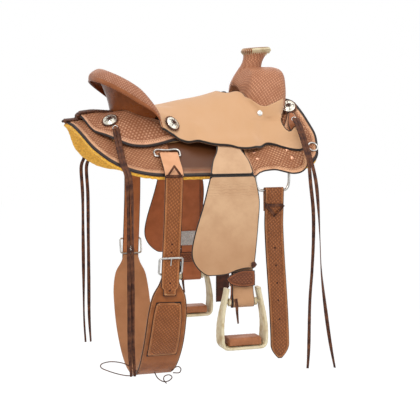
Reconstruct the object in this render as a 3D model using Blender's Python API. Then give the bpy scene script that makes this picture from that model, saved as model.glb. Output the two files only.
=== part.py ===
"""A western wade saddle with its rigging, fenders, stirrups, flank cinch and strings.

Frame: +X towards the horse's head, -Y the off (right) side, +Z up. The origin is on the
centre line, halfway along the bars, at the height of the seat on the horse's back.
"""
import math

import bmesh
import bpy
from mathutils import Matrix, Vector, geometry

# General sizes, in metres
GAP = 0.0005                # clearance between pieces that touch
CURVE_GAP = 0.0012          # the same between faceted pieces that curve both ways
LAYER_GAP = 0.0013          # the same between draped panels of different meshes
OFF, NEAR = -1.0, 1.0       # sides of the saddle, as signs of Y
SIDES = (("off", OFF), ("near", NEAR))

# The horse-back form that every skirt and jockey is draped over
RIDGE_Z = 0.026             # height of the form's ridge between the two breaks
RIDGE_ROUND = 0.035         # roundness of the ridge
SLOPE = 0.90                # slope of the flank, as a tangent
BREAK_X = 0.15              # distance fore and aft where the form starts to change
BREAK_RUN = 0.21            # length over which it changes
WITHERS_RISE = 0.104        # rise of the ridge at the withers
WITHERS_STEEPEN = 0.48      # added slope at the withers
LOIN_DROP = 0.020           # fall of the ridge at the loin
LOIN_FLATTEN = 0.10         # lost slope at the loin

# Thicknesses of the layers
FLEECE = 0.012
SKIRT = 0.005
PLATE = 0.004
JOCKEY = 0.0045
SEAT = 0.005
GROUND = 0.007
FENDER = 0.004
STRAP = 0.004

# Cantle
CANTLE_X = -0.095           # where the cantle's ends stand
CANTLE_DEPTH = 0.143        # from the ends back to the middle of the rim
CANTLE_HALF = 0.148         # half width over the rim
CANTLE_TOP = 0.153          # height of the rim's middle
CANTLE_END = 0.026          # height of the rim's ends
BOARD = 0.006
ROLL_WIDE = 0.030
ROLL_THICK = 0.012

# Fork and horn
COVER = 0.004
FORK_SHEAR = 0.020          # how far the fork's rear leans back from its top to its gullet
HORN_X = 0.214              # the horn's foot on the fork
HORN_LEAN = math.radians(22.0)
CAP_TILT = math.radians(4.0)
NECK_TALL = 0.030
NECK_SHAPE = [(0.0, 0.036), (0.12, 0.0335), (0.45, 0.030), (0.8, 0.0285), (1.0, 0.0295)]
CAP_R = 0.044
CAP_THICK = 0.013
COLLAR_TALL = 0.009         # rawhide collar under the cap

# Legs: the leathers on the slope, the hanging fender and the stirrup
SWING_X = 0.0917            # the legs' pivot fore and aft, over their centre of mass
SWING_W = 0.10
SWING_Z = -0.0356
NECK_LOW, NECK_HIGH = 0.030, 0.0366     # offsets of the leathers' slab over the form
NECK_ROOM = 0.0366          # offset of the jockey that covers them
LIFT_Y, LIFT_Z = 0.2485, -0.1177        # where the leg bends over the skirt's edge
LEG_TOP_Z = -0.1194
FENDER_Y = 0.2450           # inner face of the fender
LEATHER_WIDE = 0.064
LEATHER_THICK = 0.0035
LEATHER_Y = 0.2405          # between the leather's two plies
PLY_Y = 0.00225             # from there to the middle of a ply
LOOP_R = 0.0130             # middle of the leather round the stirrup's bolt
BOLT_Z = -0.463
BOLT_R = 0.0107
HOBBLE_Z = -0.404
HOBBLE_TALL = 0.030
STIRRUP_X = 0.104
FRAME_THICK = 0.010
TREAD_TOP_Z = -0.557
TREAD_LOW_Z = -0.5803
TREAD_LONG = 0.090
TREAD_DEEP = 0.058
BUCKLE_Z = -0.345           # the plate buckle on the stirrup leather

# Front rigging
DEE_WIRE_R = 0.0037
DEE_Y = 0.198
DEE_LOW_Z = -0.165
BILLET_X = 0.210            # where the off billet hangs on its dee
BILLET_WIDE = 0.056
LATIGO_X = 0.1955
LATIGO_WIDE = 0.041
FOLD_END_Z = -0.222

# Flank cinch
REAR_DEE_X = -0.084
REAR_DEE_W = 0.147
REAR_DEE_H = 0.0208         # offset of the rear dees' wire over the form
FLANK_WIDE = 0.050
FLANK_Y = 0.2222            # the billets at their buckles
FLANK_BUCKLE_TOP = -0.337
FLANK_BUCKLE_LOW = -0.381
FLANK_BUCKLE_WIDE = 0.064
FLANK_WIRE_R = 0.0028
FOLD_ROOM = 0.0024          # play of the flank billets' folds round the rear dees
CINCH_THICK = 0.005

# Trim
CONCHO_R = 0.0190
SEAT_CONCHO_X = -0.060
SEAT_CONCHO_W = 0.703 * CANTLE_HALF     # the seat's conchos, out from the middle
SEAT_FACET = 0.00028        # how far the seat's flat facets stray from its curve
ROSETTE_R = 0.0235
CONCHO_GAP = 0.0004         # clearance under a rosette
STRING_R = 0.0055
BREAST_DEE_R = 0.0135
BREAST_WIRE_R = 0.0022

COARSE = 0.034              # mesh pitch of the lower draped panels
FINE = 0.022                # mesh pitch of the draped panels


def clear_scene():
    for thing in list(bpy.data.objects):
        bpy.data.objects.remove(thing, do_unlink=True)


# Materials

def linear(hex_colour):
    """The linear value of an sRGB hex colour."""
    parts = [int(hex_colour[i:i + 2], 16) / 255 for i in (1, 3, 5)]
    return [c / 12.92 if c < 0.04045 else ((c + 0.055) / 1.055) ** 2.4 for c in parts] + [1.0]


def make_material(name, colour, roughness, metallic=0.0):
    material = bpy.data.materials.new(name)
    material.use_nodes = True
    shader = material.node_tree.nodes["Principled BSDF"]
    shader.inputs["Base Color"].default_value = linear(colour)
    shader.inputs["Roughness"].default_value = roughness
    shader.inputs["Metallic"].default_value = metallic
    material.diffuse_color = linear(colour)
    return material


FINISHES = {
    "russet": ("#9A5C38", 0.50, 0.0),
    "roughout": ("#C99A6E", 0.85, 0.0),
    "burgundy": ("#4A1E14", 0.50, 0.0),
    "rawhide": ("#CDBE98", 0.55, 0.0),
    "fleece": ("#B08C48", 0.95, 0.0),
    "flesh": ("#AA6A43", 0.80, 0.0),
    "wood": ("#B98D5A", 0.60, 0.0),
    "steel": ("#B9B6B1", 0.28, 1.0),
    "silver": ("#C9C4BA", 0.25, 1.0),
}


# Shapes

def smoothstep(t):
    t = min(max(t, 0.0), 1.0)
    return t * t * (3 - 2 * t)


def along(table, x):
    """The value at x of a smooth curve through (x, value) pairs, level past its ends."""
    if x <= table[0][0]:
        return table[0][1]
    if x >= table[-1][0]:
        return table[-1][1]
    n = max(i for i, row in enumerate(table) if row[0] <= x)
    n = min(n, len(table) - 2)

    def slope(i):
        low, high = max(i - 1, 0), min(i + 1, len(table) - 1)
        return (table[high][1] - table[low][1]) / (table[high][0] - table[low][0])

    run = table[n + 1][0] - table[n][0]
    t = (x - table[n][0]) / run
    a = (2 * t ** 3 - 3 * t ** 2 + 1) * table[n][1] + (t ** 3 - 2 * t ** 2 + t) * run * slope(n)
    b = (3 * t ** 2 - 2 * t ** 3) * table[n + 1][1] + (t ** 3 - t ** 2) * run * slope(n + 1)
    return a + b


def smooth_curve(points, spacing, closed=False):
    """Points about a spacing apart on a smooth curve through the given points."""
    points = [Vector(p) for p in points]
    count = len(points)
    found = []
    for i in range(count if closed else count - 1):
        if closed:
            p0, p1, p2, p3 = (points[(i + k) % count] for k in (-1, 0, 1, 2))
        else:
            p0, p3 = points[max(i - 1, 0)], points[min(i + 2, count - 1)]
            p1, p2 = points[i], points[i + 1]
        steps = max(1, round((p2 - p1).length / spacing))
        for k in range(steps):
            t = k / steps
            found.append(0.5 * (2 * p1 + (p2 - p0) * t + (2 * p0 - 5 * p1 + 4 * p2 - p3) * t * t
                                + (3 * p1 - p0 - 3 * p2 + p3) * t ** 3))
    if not closed:
        found.append(points[-1])
    return found


def even_curve(points, spacing, closed=False):
    """The smooth curve again, with its points at even distances."""
    fine = smooth_curve(points, spacing / 8, closed)
    if closed:
        fine.append(fine[0])
    lengths = [0.0]
    for a, b in zip(fine, fine[1:]):
        lengths.append(lengths[-1] + (b - a).length)
    steps = max(3, round(lengths[-1] / spacing))
    found, n = [], 0
    for k in range(steps + (0 if closed else 1)):
        want = lengths[-1] * k / steps
        while n < len(fine) - 2 and lengths[n + 1] < want:
            n += 1
        run = lengths[n + 1] - lengths[n]
        found.append(fine[n].lerp(fine[n + 1], (want - lengths[n]) / run if run else 0.0))
    return found


def add_mesh(name, verts, faces, finish, smooth_angle=35.0):
    """A closed solid as a named object, with its faces turned outwards."""
    mesh = bpy.data.meshes.new(name)
    mesh.from_pydata([tuple(v) for v in verts], [], faces)
    work = bmesh.new()
    work.from_mesh(mesh)
    bmesh.ops.recalc_face_normals(work, faces=work.faces)
    if work.calc_volume(signed=True) < 0:
        bmesh.ops.reverse_faces(work, faces=work.faces)
    work.to_mesh(mesh)
    work.free()
    mesh.shade_smooth()
    mesh.set_sharp_from_angle(angle=math.radians(smooth_angle))
    thing = bpy.data.objects.new(name, mesh)
    mesh.materials.append(FINISH[finish])
    bpy.context.collection.objects.link(thing)
    return thing


def inside(point, outline):
    """Whether a plan point is inside a closed outline."""
    hit = False
    for a, b in zip(outline, outline[1:] + outline[:1]):
        if (a.y > point.y) != (b.y > point.y):
            if point.x < (b.x - a.x) * (point.y - a.y) / (b.y - a.y) + a.x:
                hit = not hit
    return hit


def edge_distance(point, outline):
    nearest = 1.0
    for a, b in zip(outline, outline[1:] + outline[:1]):
        along_edge = b - a
        t = min(max((point - a).dot(along_edge) / along_edge.length_squared, 0.0), 1.0)
        nearest = min(nearest, (a + along_edge * t - point).length)
    return nearest


def panel(name, outline, low, high, finish, pitch=COARSE):
    """A sheet cut to a plan outline, between the surfaces low(x, w) and high(x, w)."""
    outline = [Vector(p).to_2d() for p in outline]
    xs, ws = [p.x for p in outline], [p.y for p in outline]
    points = list(outline)
    rows = [math.floor(w / (pitch * 0.87)) for w in (min(ws), max(ws))]
    columns = [math.floor(x / pitch) for x in (min(xs), max(xs))]
    for r in range(rows[0], rows[1] + 2):
        for c in range(columns[0] - 1, columns[1] + 2):
            p = Vector(((c + 0.5 * (r % 2)) * pitch, r * pitch * 0.87))
            if inside(p, outline) and edge_distance(p, outline) > pitch * 0.45:
                points.append(p)
    ring = list(range(len(outline)))
    flat, _, faces, *_ = geometry.delaunay_2d_cdt(points, [], [ring], 1, 1e-7)
    count = len(flat)
    edge_count = {}
    for face in faces:
        for a, b in zip(face, face[1:] + face[:1]):
            edge_count[(a, b)] = edge_count.get((a, b), 0) + 1
    walls = [(a, b) for a, b in edge_count if (b, a) not in edge_count]
    verts = [high(p.x, p.y) for p in flat] + [low(p.x, p.y) for p in flat]
    solid = [tuple(f) for f in faces] + [tuple(i + count for i in reversed(f)) for f in faces]
    solid += [(a, a + count, b + count, b) for a, b in walls]
    return add_mesh(name, verts, solid, finish)


def skin(name, rings, finish, loop=False, smooth_angle=35.0, layered=False):
    """A solid over a row of closed sections, with capped ends or closed into a loop.

    A layered solid's sections run out along its outer face and back along its inner one, and
    both faces are split the same way, so that layers which follow one surface stay clear.
    """
    size = len(rings[0])
    verts = [p for ring in rings for p in ring]
    faces = []
    for i in range(len(rings) if loop else len(rings) - 1):
        here, there = i * size, (i + 1) % len(rings) * size
        for k in range(size):
            n = (k + 1) % size
            a, b, c, d = here + k, here + n, there + n, there + k
            if not layered:
                faces.append((a, b, c, d))
            elif k < size // 2:
                faces += [(a, b, c), (a, c, d)]
            else:
                faces += [(a, b, d), (b, c, d)]
    if not loop:
        faces.append(tuple(range(size)))
        faces.append(tuple(range(len(verts) - 1, len(verts) - 1 - size, -1)))
    return add_mesh(name, verts, faces, finish, smooth_angle)


def frames(path, side, closed=False):
    """At each point of a path: the point, the direction across in the side's sense, and the face's."""
    found = []
    for i, p in enumerate(path):
        if closed:
            ahead, behind = path[(i + 1) % len(path)], path[i - 1]
        else:
            ahead, behind = path[min(i + 1, len(path) - 1)], path[max(i - 1, 0)]
        tangent = (ahead - behind).normalized()
        across = (side - tangent * side.dot(tangent)).normalized()
        found.append((p, across, tangent.cross(across)))
    return found


def sweep(name, path, side, section, finish, closed=False, smooth_angle=35.0):
    """A section of (across, face) pairs carried along a path; it may be a function of the index."""
    rings = []
    for i, (p, across, face) in enumerate(frames(path, side, closed)):
        shape = section(i) if callable(section) else section
        rings.append([p + across * a + face * b for a, b in shape])
    return skin(name, rings, finish, closed, smooth_angle)


def flat_section(wide, thick, edge=0.0012):
    """A strap's section with its edges eased."""
    w, t = wide / 2, thick / 2
    return [(-w + edge, -t), (w - edge, -t), (w, -t + edge), (w, t - edge),
            (w - edge, t), (-w + edge, t), (-w, t - edge), (-w, -t + edge)]


def round_section(radius, sides=8):
    return [(radius * math.cos(2 * math.pi * k / sides), radius * math.sin(2 * math.pi * k / sides))
            for k in range(sides)]


def turned(name, profile, place, finish, sides=24):
    """Pairs of (radius, height) turned round the place's Z axis; the first and last radius is 0."""
    verts, faces = [place @ Vector((0, 0, profile[0][1]))], []
    for radius, height in profile[1:-1]:
        for k in range(sides):
            a = 2 * math.pi * k / sides
            verts.append(place @ Vector((radius * math.cos(a), radius * math.sin(a), height)))
    verts.append(place @ Vector((0, 0, profile[-1][1])))
    rings, last = len(profile) - 2, len(verts) - 1
    for k in range(sides):
        n = (k + 1) % sides
        faces.append((0, 1 + k, 1 + n))
        faces.append((last, last - sides + n, last - sides + k))
        for r in range(rings - 1):
            a, b = 1 + r * sides, 1 + (r + 1) * sides
            faces.append((a + k, b + k, b + n, a + n))
    return add_mesh(name, verts, faces, finish)


# The horse-back form

def ridge_and_slope(x):
    """Height of the ridge and slope of the flank at x."""
    if x > BREAK_X:
        s = smoothstep((x - BREAK_X) / BREAK_RUN)
        return RIDGE_Z + s * WITHERS_RISE, SLOPE + s * WITHERS_STEEPEN
    s = smoothstep((-BREAK_X - x) / BREAK_RUN)
    return RIDGE_Z - s * LOIN_DROP, SLOPE - s * LOIN_FLATTEN


def form_z(x, w):
    ridge, slope = ridge_and_slope(x)
    return ridge - (math.hypot(RIDGE_ROUND, slope * w) - RIDGE_ROUND)


def form_normal(x, w):
    step = 0.0005
    dx = (form_z(x + step, w) - form_z(x - step, w)) / (2 * step)
    dw = (form_z(x, w + step) - form_z(x, w - step)) / (2 * step)
    return Vector((-dx, -dw, 1.0)).normalized()


def draped(x, w, side, h, rise=0.0):
    """The point at distance h over the form, and a rise above that, on one side."""
    p = Vector((x, w, form_z(x, w))) + form_normal(x, w) * h
    return Vector((p.x, p.y * side, p.z + rise))


def seated(x, w, side, h):
    """A frame on the draped surface at (x, w), its Z along the surface's normal."""
    normal = form_normal(x, w)
    normal.y *= side
    forward = Vector((1, 0, 0))
    forward = (forward - normal * forward.dot(normal)).normalized()
    turn = Matrix((forward, normal.cross(forward), normal)).transposed().to_4x4()
    return Matrix.Translation(draped(x, w, side, h)) @ turn


# Offsets of the layers over the form, each resting on the one below
SKIRT_LOW = FLEECE + GAP
SKIRT_HIGH = SKIRT_LOW + SKIRT
PLATE_LOW = SKIRT_HIGH + LAYER_GAP
PLATE_HIGH = PLATE_LOW + PLATE
BAR_LOW = SKIRT_HIGH + 0.002


# The wooden bars and the seat's shape, as (x, value) along the saddle
BAR_TALL = [(-0.265, 0.0), (-0.19, 0.032), (-0.06, 0.032), (0.0, 0.020), (0.29, 0.020), (0.335, 0.0)]
BAR_EDGE = [(-0.06, 0.145), (0.0, 0.128), (0.16, 0.128), (0.21, 0.145)]
BAR_INNER = 0.060
HIDDEN_GAP = 0.002          # clearance of the pieces inside, which meet only at their seats
SEAT_MIDDLE = [(-0.20, 0.050), (-0.13, 0.057), (-0.068, 0.064), (-0.007, 0.077), (0.062, 0.090),
               (0.132, 0.110), (0.165, 0.117), (0.20, 0.117), (0.24, 0.105), (0.28, 0.075),
               (0.31, 0.030)]
SEAT_FALL = [(0.06, 0.050), (0.20, 0.056)]      # fall of the seat 0.1 m out from the middle
SEAT_POWER = [(0.06, 2.2), (0.20, 2.6)]
DISH_START = 0.30           # where the seat starts to rise to the cantle, as a share of its reach
DISH_END = 0.86             # where it has reached the roll
SEAT_BLEND = 0.008          # softness where the seat comes down onto the jockeys
SEAT_IN = 0.150             # the seat comes down onto the jockeys here


def bar_rise(x, w):
    """How far the tree's bars lift what lies over them."""
    across = smoothstep((along(BAR_EDGE, x) - w) / 0.065) * smoothstep(w / BAR_INNER)
    return along(BAR_TALL, x) * across


def deck(x):
    """Distance over the form of the skirt, and of the rigging plate where it lies on the skirt."""
    return PLATE_LOW + (PLATE + GAP) * smoothstep((x - 0.10) / 0.03)


def on_deck(side, extra):
    return lambda x, w: draped(x, w, side, deck(x) + extra, bar_rise(x, w))


def neck_room(x, w):
    """How far the seat's jockeys stand off to let the leathers swing under them."""
    over = smoothstep((x + 0.03) / 0.04) * smoothstep((0.20 - x) / 0.035)
    return (NECK_ROOM - deck(x)) * over * smoothstep((w - 0.080) / 0.02)


def flat_seat(x, w):
    """The underside of the seat before the cantle lifts it."""
    ground = (GROUND + GAP) * smoothstep((SEAT_IN - w) / 0.02)
    p = draped(x, w, 1.0, deck(x) + GAP + ground + neck_room(x, w), bar_rise(x, w))
    crown = along(SEAT_MIDDLE, p.x) - along(SEAT_FALL, p.x) * (p.y / 0.1) ** along(SEAT_POWER, p.x)
    p.z = 0.5 * (p.z + crown + math.hypot(p.z - crown, SEAT_BLEND))
    return p


def under(x, w, surface):
    """The plan point whose place on a surface lies over plan (x, w)."""
    bx, bw = x, w
    for _ in range(10):
        p = surface(bx, max(bw, 0.0))
        bx += x - p.x
        bw += w - p.y
    return bx, max(bw, 0.0)


# The cantle's curves, by the angle from the middle of its back round to either end

def rim(angle, out=0.0):
    """The top of the cantle's rim, or a point further out on its plane."""
    x = CANTLE_X - (CANTLE_DEPTH + out) * math.cos(angle)
    w = (CANTLE_HALF + out) * math.sin(angle)
    return Vector((x, w, CANTLE_END + (CANTLE_TOP - CANTLE_END) * abs(math.cos(angle)) ** 1.25))


def rim_rise(angle):
    """How far the seat's underside climbs to end under the roll."""
    at = rim(angle, -0.1 * CANTLE_DEPTH)
    flat = flat_seat(*under(at.x, abs(at.y), flat_seat)).z
    return rim(angle).z - ROLL_THICK / 2 - 2 * GAP - SEAT - flat


def seat_under(x, w):
    """The underside of the seat leather."""
    p = flat_seat(x, w)
    ahead = p.x - CANTLE_X
    if ahead < 0:
        reach = math.hypot(ahead / CANTLE_DEPTH, p.y / CANTLE_HALF)
        angle = math.atan2(p.y / CANTLE_HALF, -ahead / CANTLE_DEPTH)
        fade = 1.0
    else:
        reach, angle = p.y / CANTLE_HALF, math.pi / 2
        fade = smoothstep(1 - ahead / 0.055)
    if fade > 0 and reach > DISH_START:
        ramp = ((min(reach, DISH_END) - DISH_START) / (DISH_END - DISH_START)) ** 2
        p.z += rim_rise(angle) * ramp * fade
    return p


def seat_point(x, y, extra):
    side = OFF if y < 0 else NEAR
    p = seat_under(x, abs(y))
    return Vector((p.x, p.y * side, p.z + extra))


# Outlines on the off side, as (x, w), w being the distance from the centre line
SKIRT_REAR = [(-0.333, 0.004), (-0.318, 0.035), (-0.302, 0.073), (-0.287, 0.108), (-0.271, 0.133),
              (-0.244, 0.162), (-0.209, 0.186), (-0.167, 0.201), (-0.106, 0.209), (0.018, 0.210),
              (0.149, 0.208)]
DEE_NOTCH = [[(0.149, 0.208), (0.151, 0.178)], [(0.151, 0.178), (0.264, 0.178)],
             [(0.264, 0.178), (0.266, 0.202)]]
SKIRT_FRONT = [(0.266, 0.202), (0.290, 0.200), (0.324, 0.191), (0.345, 0.178), (0.353, 0.160),
               (0.357, 0.135), (0.348, 0.110), (0.336, 0.083), (0.321, 0.059), (0.300, 0.044)]
SKIRT_INNER = [(0.300, 0.044), (0.24, 0.036), (0.15, 0.024), (0.0, 0.012), (-0.20, 0.004),
               (-0.333, 0.004)]
JOCKEY_EDGE = [(-0.296, 0.004), (-0.284, 0.036), (-0.262, 0.078), (-0.228, 0.110), (-0.189, 0.128),
               (-0.149, 0.133), (-0.106, 0.130), (-0.048, 0.120), (-0.010, 0.112)]
JOCKEY_INNER = [(-0.010, 0.112), (-0.022, 0.100), (-0.075, 0.086), (-0.13, 0.068), (-0.172, 0.040),
                (-0.186, 0.004), (-0.296, 0.004)]
PLATE_EDGE = [(0.133, 0.120), (0.133, 0.214), (0.162, 0.208), (0.182, 0.204), (0.209, 0.203),
              (0.230, 0.208), (0.252, 0.213), (0.275, 0.212), (0.295, 0.205), (0.306, 0.194),
              (0.315, 0.170), (0.317, 0.147), (0.317, 0.115), (0.315, 0.090), (0.300, 0.078),
              (0.280, 0.100), (0.250, 0.124), (0.200, 0.132)]


def closed_outline(*runs, spacing=COARSE):
    """An outline of smooth runs that meet at corners."""
    found = []
    for run in runs:
        found += even_curve([Vector((*p, 0)) for p in run], spacing)[:-1]
    return found


def add_skirts():
    for word, side in SIDES:
        edge = closed_outline(SKIRT_REAR, *DEE_NOTCH, SKIRT_FRONT, SKIRT_INNER)
        panel(f"fleece_{word}", edge, lambda x, w: draped(x, w, side, 0.0),
              lambda x, w: draped(x, w, side, FLEECE), "fleece")
        panel(f"skirt_{word}", edge, lambda x, w: draped(x, w, side, SKIRT_LOW),
              lambda x, w: draped(x, w, side, SKIRT_HIGH), "russet")


def add_jockeys():
    for word, side in SIDES:
        edge = closed_outline(JOCKEY_EDGE, JOCKEY_INNER, spacing=FINE)
        panel(f"rear_jockey_{word}", edge, on_deck(side, GAP), on_deck(side, GAP + JOCKEY), "russet",
              FINE)


def add_plates():
    for word, side in SIDES:
        edge = closed_outline(PLATE_EDGE + PLATE_EDGE[:1], spacing=FINE)
        panel(f"rigging_plate_{word}", edge, lambda x, w: draped(x, w, side, PLATE_LOW),
              lambda x, w: draped(x, w, side, PLATE_HIGH), "russet")


# Tree, seat, cantle, fork and horn

BAR_OUT = [(-0.235, 0.080), (-0.200, 0.118), (-0.06, 0.116), (0.0, 0.100), (0.16, 0.100),
           (0.20, 0.108), (0.240, 0.104), (0.256, 0.084)]
BAR_IN = [(0.256, 0.084), (0.248, 0.060), (0.16, 0.038), (-0.16, 0.034), (-0.220, 0.042),
          (-0.235, 0.080)]


BAR_EDGE_THICK = 0.002
BAR_SINK = 0.0060           # how far the bars stay below what lies over them


def add_bars():
    for word, side in SIDES:
        edge = closed_outline(BAR_OUT, BAR_IN)

        def top(x, w):
            return draped(x, w, side, BAR_LOW + BAR_EDGE_THICK, max(bar_rise(x, w) - BAR_SINK, 0.0))

        panel(f"tree_bar_{word}", edge, lambda x, w: draped(x, w, side, BAR_LOW), top, "wood")


SEAT_SIDE = [(-0.098, 0.128), (-0.088, 0.138), (-0.070, 0.136), (-0.052, 0.124), (-0.015, 0.130),
             (0.042, 0.142), (0.092, 0.146), (0.118, 0.152), (0.146, 0.153), (0.182, 0.148),
             (0.206, 0.141), (0.231, 0.146), (0.255, 0.157), (0.277, 0.165), (0.300, 0.168),
             (0.312, 0.160), (0.321, 0.144), (0.313, 0.127), (0.298, 0.123), (0.281, 0.129),
             (0.270, 0.120), (0.266, 0.108), (0.271, 0.098), (0.270, 0.084), (0.276, 0.070)]
SEAT_FRONT = [(0.276, 0.070), (0.264, 0.083), (0.235, 0.096), (0.205, 0.092), (0.182, 0.070),
              (0.168, 0.046), (0.150, 0.036), (0.124, 0.032), (0.112, 0.018), (0.110, 0.0)]
GROUND_EDGE = [(-0.135, 0.0), (-0.130, 0.028), (-0.110, 0.044), (-0.050, 0.044), (0.0, 0.048),
               (0.060, 0.054), (0.096, 0.050), (0.104, 0.035), (0.106, 0.0)]


def rim_plan(share, first, last, steps):
    """Plan points of the flat seat that lie under the cantle's rim, brought in by a share."""
    found = []
    for k in range(steps + 1):
        angle = math.radians(first + (last - first) * k / steps)
        x = CANTLE_X - CANTLE_DEPTH * share * math.cos(angle)
        found.append(under(x, CANTLE_HALF * share * math.sin(angle), flat_seat))
    return found


def both_sides(half):
    """A closed outline from its off half, which runs from the rear middle to the front middle."""
    off = [Vector((x, -w)) for x, w in half]
    near = [Vector((x, w)) for x, w in half[1:-1]]
    return off + near[::-1]


def add_seat():
    half = rim_plan(DISH_END, 0, 80, 9)
    half += [tuple(p.xy) for p in closed_outline(SEAT_SIDE, SEAT_FRONT, spacing=0.014)]
    half.append(SEAT_FRONT[-1])
    seat = panel("seat", both_sides(half), lambda x, y: seat_point(x, y, 0.0),
                 lambda x, y: seat_point(x, y, SEAT), "roughout", FINE)
    cut(seat, skin("fork_room", fork_rings(-2 * GAP, beyond=0.010), "wood"))

    def low(x, y):
        side = OFF if y < 0 else NEAR
        return draped(x, abs(y), side, deck(x) + HIDDEN_GAP, bar_rise(x, abs(y)))

    panel("ground_seat", both_sides(GROUND_EDGE), low,
          lambda x, y: seat_point(x, y, -1.5 * HIDDEN_GAP), "flesh", FINE)


def cut(thing, cutter):
    """Takes the cutter's shape out of a solid."""
    cutter.hide_render = True
    cutter.display_type = "WIRE"
    boolean = thing.modifiers.new("cut", "BOOLEAN")
    boolean.operation = "DIFFERENCE"
    boolean.solver = "EXACT"
    boolean.object = cutter


def join(thing, other):
    """Adds another solid's shape to a solid."""
    other.hide_render = True
    other.display_type = "WIRE"
    boolean = thing.modifiers.new("join", "BOOLEAN")
    boolean.operation = "UNION"
    boolean.solver = "EXACT"
    boolean.object = other


# The cantle, by its angle and by the share of the way from its foot up to its rim
CANTLE_SPAN = 70            # degrees round to each end
CANTLE_FOOT_GAP = 0.0015
CANTLE_FOOT_DEPTH = 0.107
CANTLE_FOOT_HALF = 0.100
CANTLE_HOLLOW = 0.006       # how far the back is hollowed between foot and rim


def cantle_foot(angle, inward):
    x = CANTLE_X - (CANTLE_FOOT_DEPTH - inward) * math.cos(angle)
    w = (CANTLE_FOOT_HALF - inward) * abs(math.sin(angle))
    surface = on_deck(1.0, GAP + JOCKEY + CANTLE_FOOT_GAP)
    foot = surface(*under(x, w, surface))
    foot.y *= math.copysign(1.0, angle)
    return foot


def cantle_point(angle, share, inward):
    """A point on the cantle's back, or inward of it."""
    foot, top = cantle_foot(angle, inward), rim(angle, -inward)
    top.z -= ROLL_THICK / 2 + GAP
    across = Vector((-math.cos(angle), math.sin(angle), 0.0))
    return foot.lerp(top, share) - across * CANTLE_HOLLOW * math.sin(math.pi * share) * math.cos(angle)


def cantle_layer(name, outer, inner, finish, steps=16, rows=4):
    rings = []
    for k in range(steps + 1):
        angle = math.radians(CANTLE_SPAN * (2 * k / steps - 1))
        out = [cantle_point(angle, r / rows, outer) for r in range(rows + 1)]
        back = [cantle_point(angle, r / rows, inner) for r in range(rows + 1)]
        rings.append(out + back[::-1])
    return skin(name, rings, finish, smooth_angle=50, layered=True)


def add_cantle():
    cantle_layer("cantle_back", 0.0, STRAP, "russet")
    cantle_layer("cantle_board", STRAP + CURVE_GAP, STRAP + CURVE_GAP + BOARD, "wood")
    rings = []
    steps = 22
    for k in range(steps + 1):
        angle = math.radians(90 * (2 * k / steps - 1))
        across = Vector((-math.cos(angle), math.sin(angle), 0.0))
        middle = rim(angle, 0.006)
        taper = 1 - 0.45 * smoothstep((abs(angle) - math.radians(60)) / math.radians(30))
        ring = []
        for n in range(10):
            a = 2 * math.pi * n / 10
            reach = ROLL_WIDE / 2 * math.cos(a) * taper
            droop = 0.18 * max(reach, 0.0)
            ring.append(middle + across * reach
                        + Vector((0, 0, ROLL_THICK / 2 * math.sin(a) * taper - droop)))
        rings.append(ring)
    skin("cantle_roll", rings, "russet", smooth_angle=50)


# The fork, an arch of sections from the off foot over the gullet to the near foot
FORK_OUT = [(0.0, 0.178), (0.040, 0.176), (0.074, 0.164), (0.098, 0.138), (0.112, 0.104),
            (0.120, 0.070), (0.124, 0.036)]
FORK_IN = [(0.0, 0.112), (0.022, 0.108), (0.040, 0.094), (0.052, 0.076), (0.058, 0.062),
           (0.062, 0.052), (0.066, 0.046)]
FORK_REAR = [0.168, 0.168, 0.170, 0.173, 0.178, 0.186, 0.196]
FORK_SEAT = [(0.14, 0.020), (0.14, 0.170), (0.335, 0.170), (0.335, 0.020)]
FORK_FRONT = [0.290, 0.292, 0.293, 0.291, 0.287, 0.280, 0.270]


def fork_rings(inset, sides=14, per=2, beyond=0.0):
    """Sections of the fork, inset all round, and one at each end that is a distance beyond its foot."""
    count = len(FORK_OUT)
    rings = []
    for k in range(-(count - 1) * per, (count - 1) * per + 1):
        at = abs(k) / per
        stations = [(i, 0) for i in range(count)]

        def value(row):
            return along([(i, row[i]) for i, _ in stations], at)

        out = Vector((0, value([p[0] for p in FORK_OUT]), value([p[1] for p in FORK_OUT])))
        inner = Vector((0, value([p[0] for p in FORK_IN]), value([p[1] for p in FORK_IN])))
        rear, front = value(FORK_REAR), value(FORK_FRONT)
        side = -1.0 if k < 0 else 1.0
        out.y *= side
        inner.y *= side
        thick = (out - inner).length / 2 - inset
        up = (out - inner).normalized()
        middle = (out + inner) / 2
        half = (front - rear) / 2 - inset
        ring = []
        for n in range(sides):
            a = 2 * math.pi * n / sides
            ca, sa = math.cos(a), math.sin(a)
            x = math.copysign(abs(ca) ** 0.75, ca) * half
            t = math.copysign(abs(sa) ** 0.75, sa) * thick
            lean = -FORK_SHEAR * (0.5 - t / (2 * thick)) * (1 if ca < 0 else 0) * abs(ca)
            ring.append(middle + up * t + Vector(((rear + front) / 2 + x + lean, 0, 0)))
        rings.append(ring)
    if beyond:
        drop = Vector((0, 0, -beyond))
        rings = [[p + drop for p in rings[0]], *rings, [p + drop for p in rings[-1]]]
    return rings


def hollow_skin(name, outer, inner, finish):
    """A wall between two rows of sections, open at both ends."""
    size, count = len(outer[0]), len(outer)
    verts = [p for ring in outer for p in ring] + [p for ring in inner for p in ring]
    back = size * count
    faces = []
    for i in range(count - 1):
        for k in range(size):
            n = (k + 1) % size
            a, b = i * size, (i + 1) * size
            faces.append((a + k, a + n, b + n, b + k))
            faces.append((back + a + k, back + b + k, back + b + n, back + a + n))
    for k in range(size):
        n = (k + 1) % size
        last = (count - 1) * size
        faces.append((k, back + k, back + n, n))
        faces.append((last + k, last + n, back + last + n, back + last + k))
    return add_mesh(name, verts, faces, finish)


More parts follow.
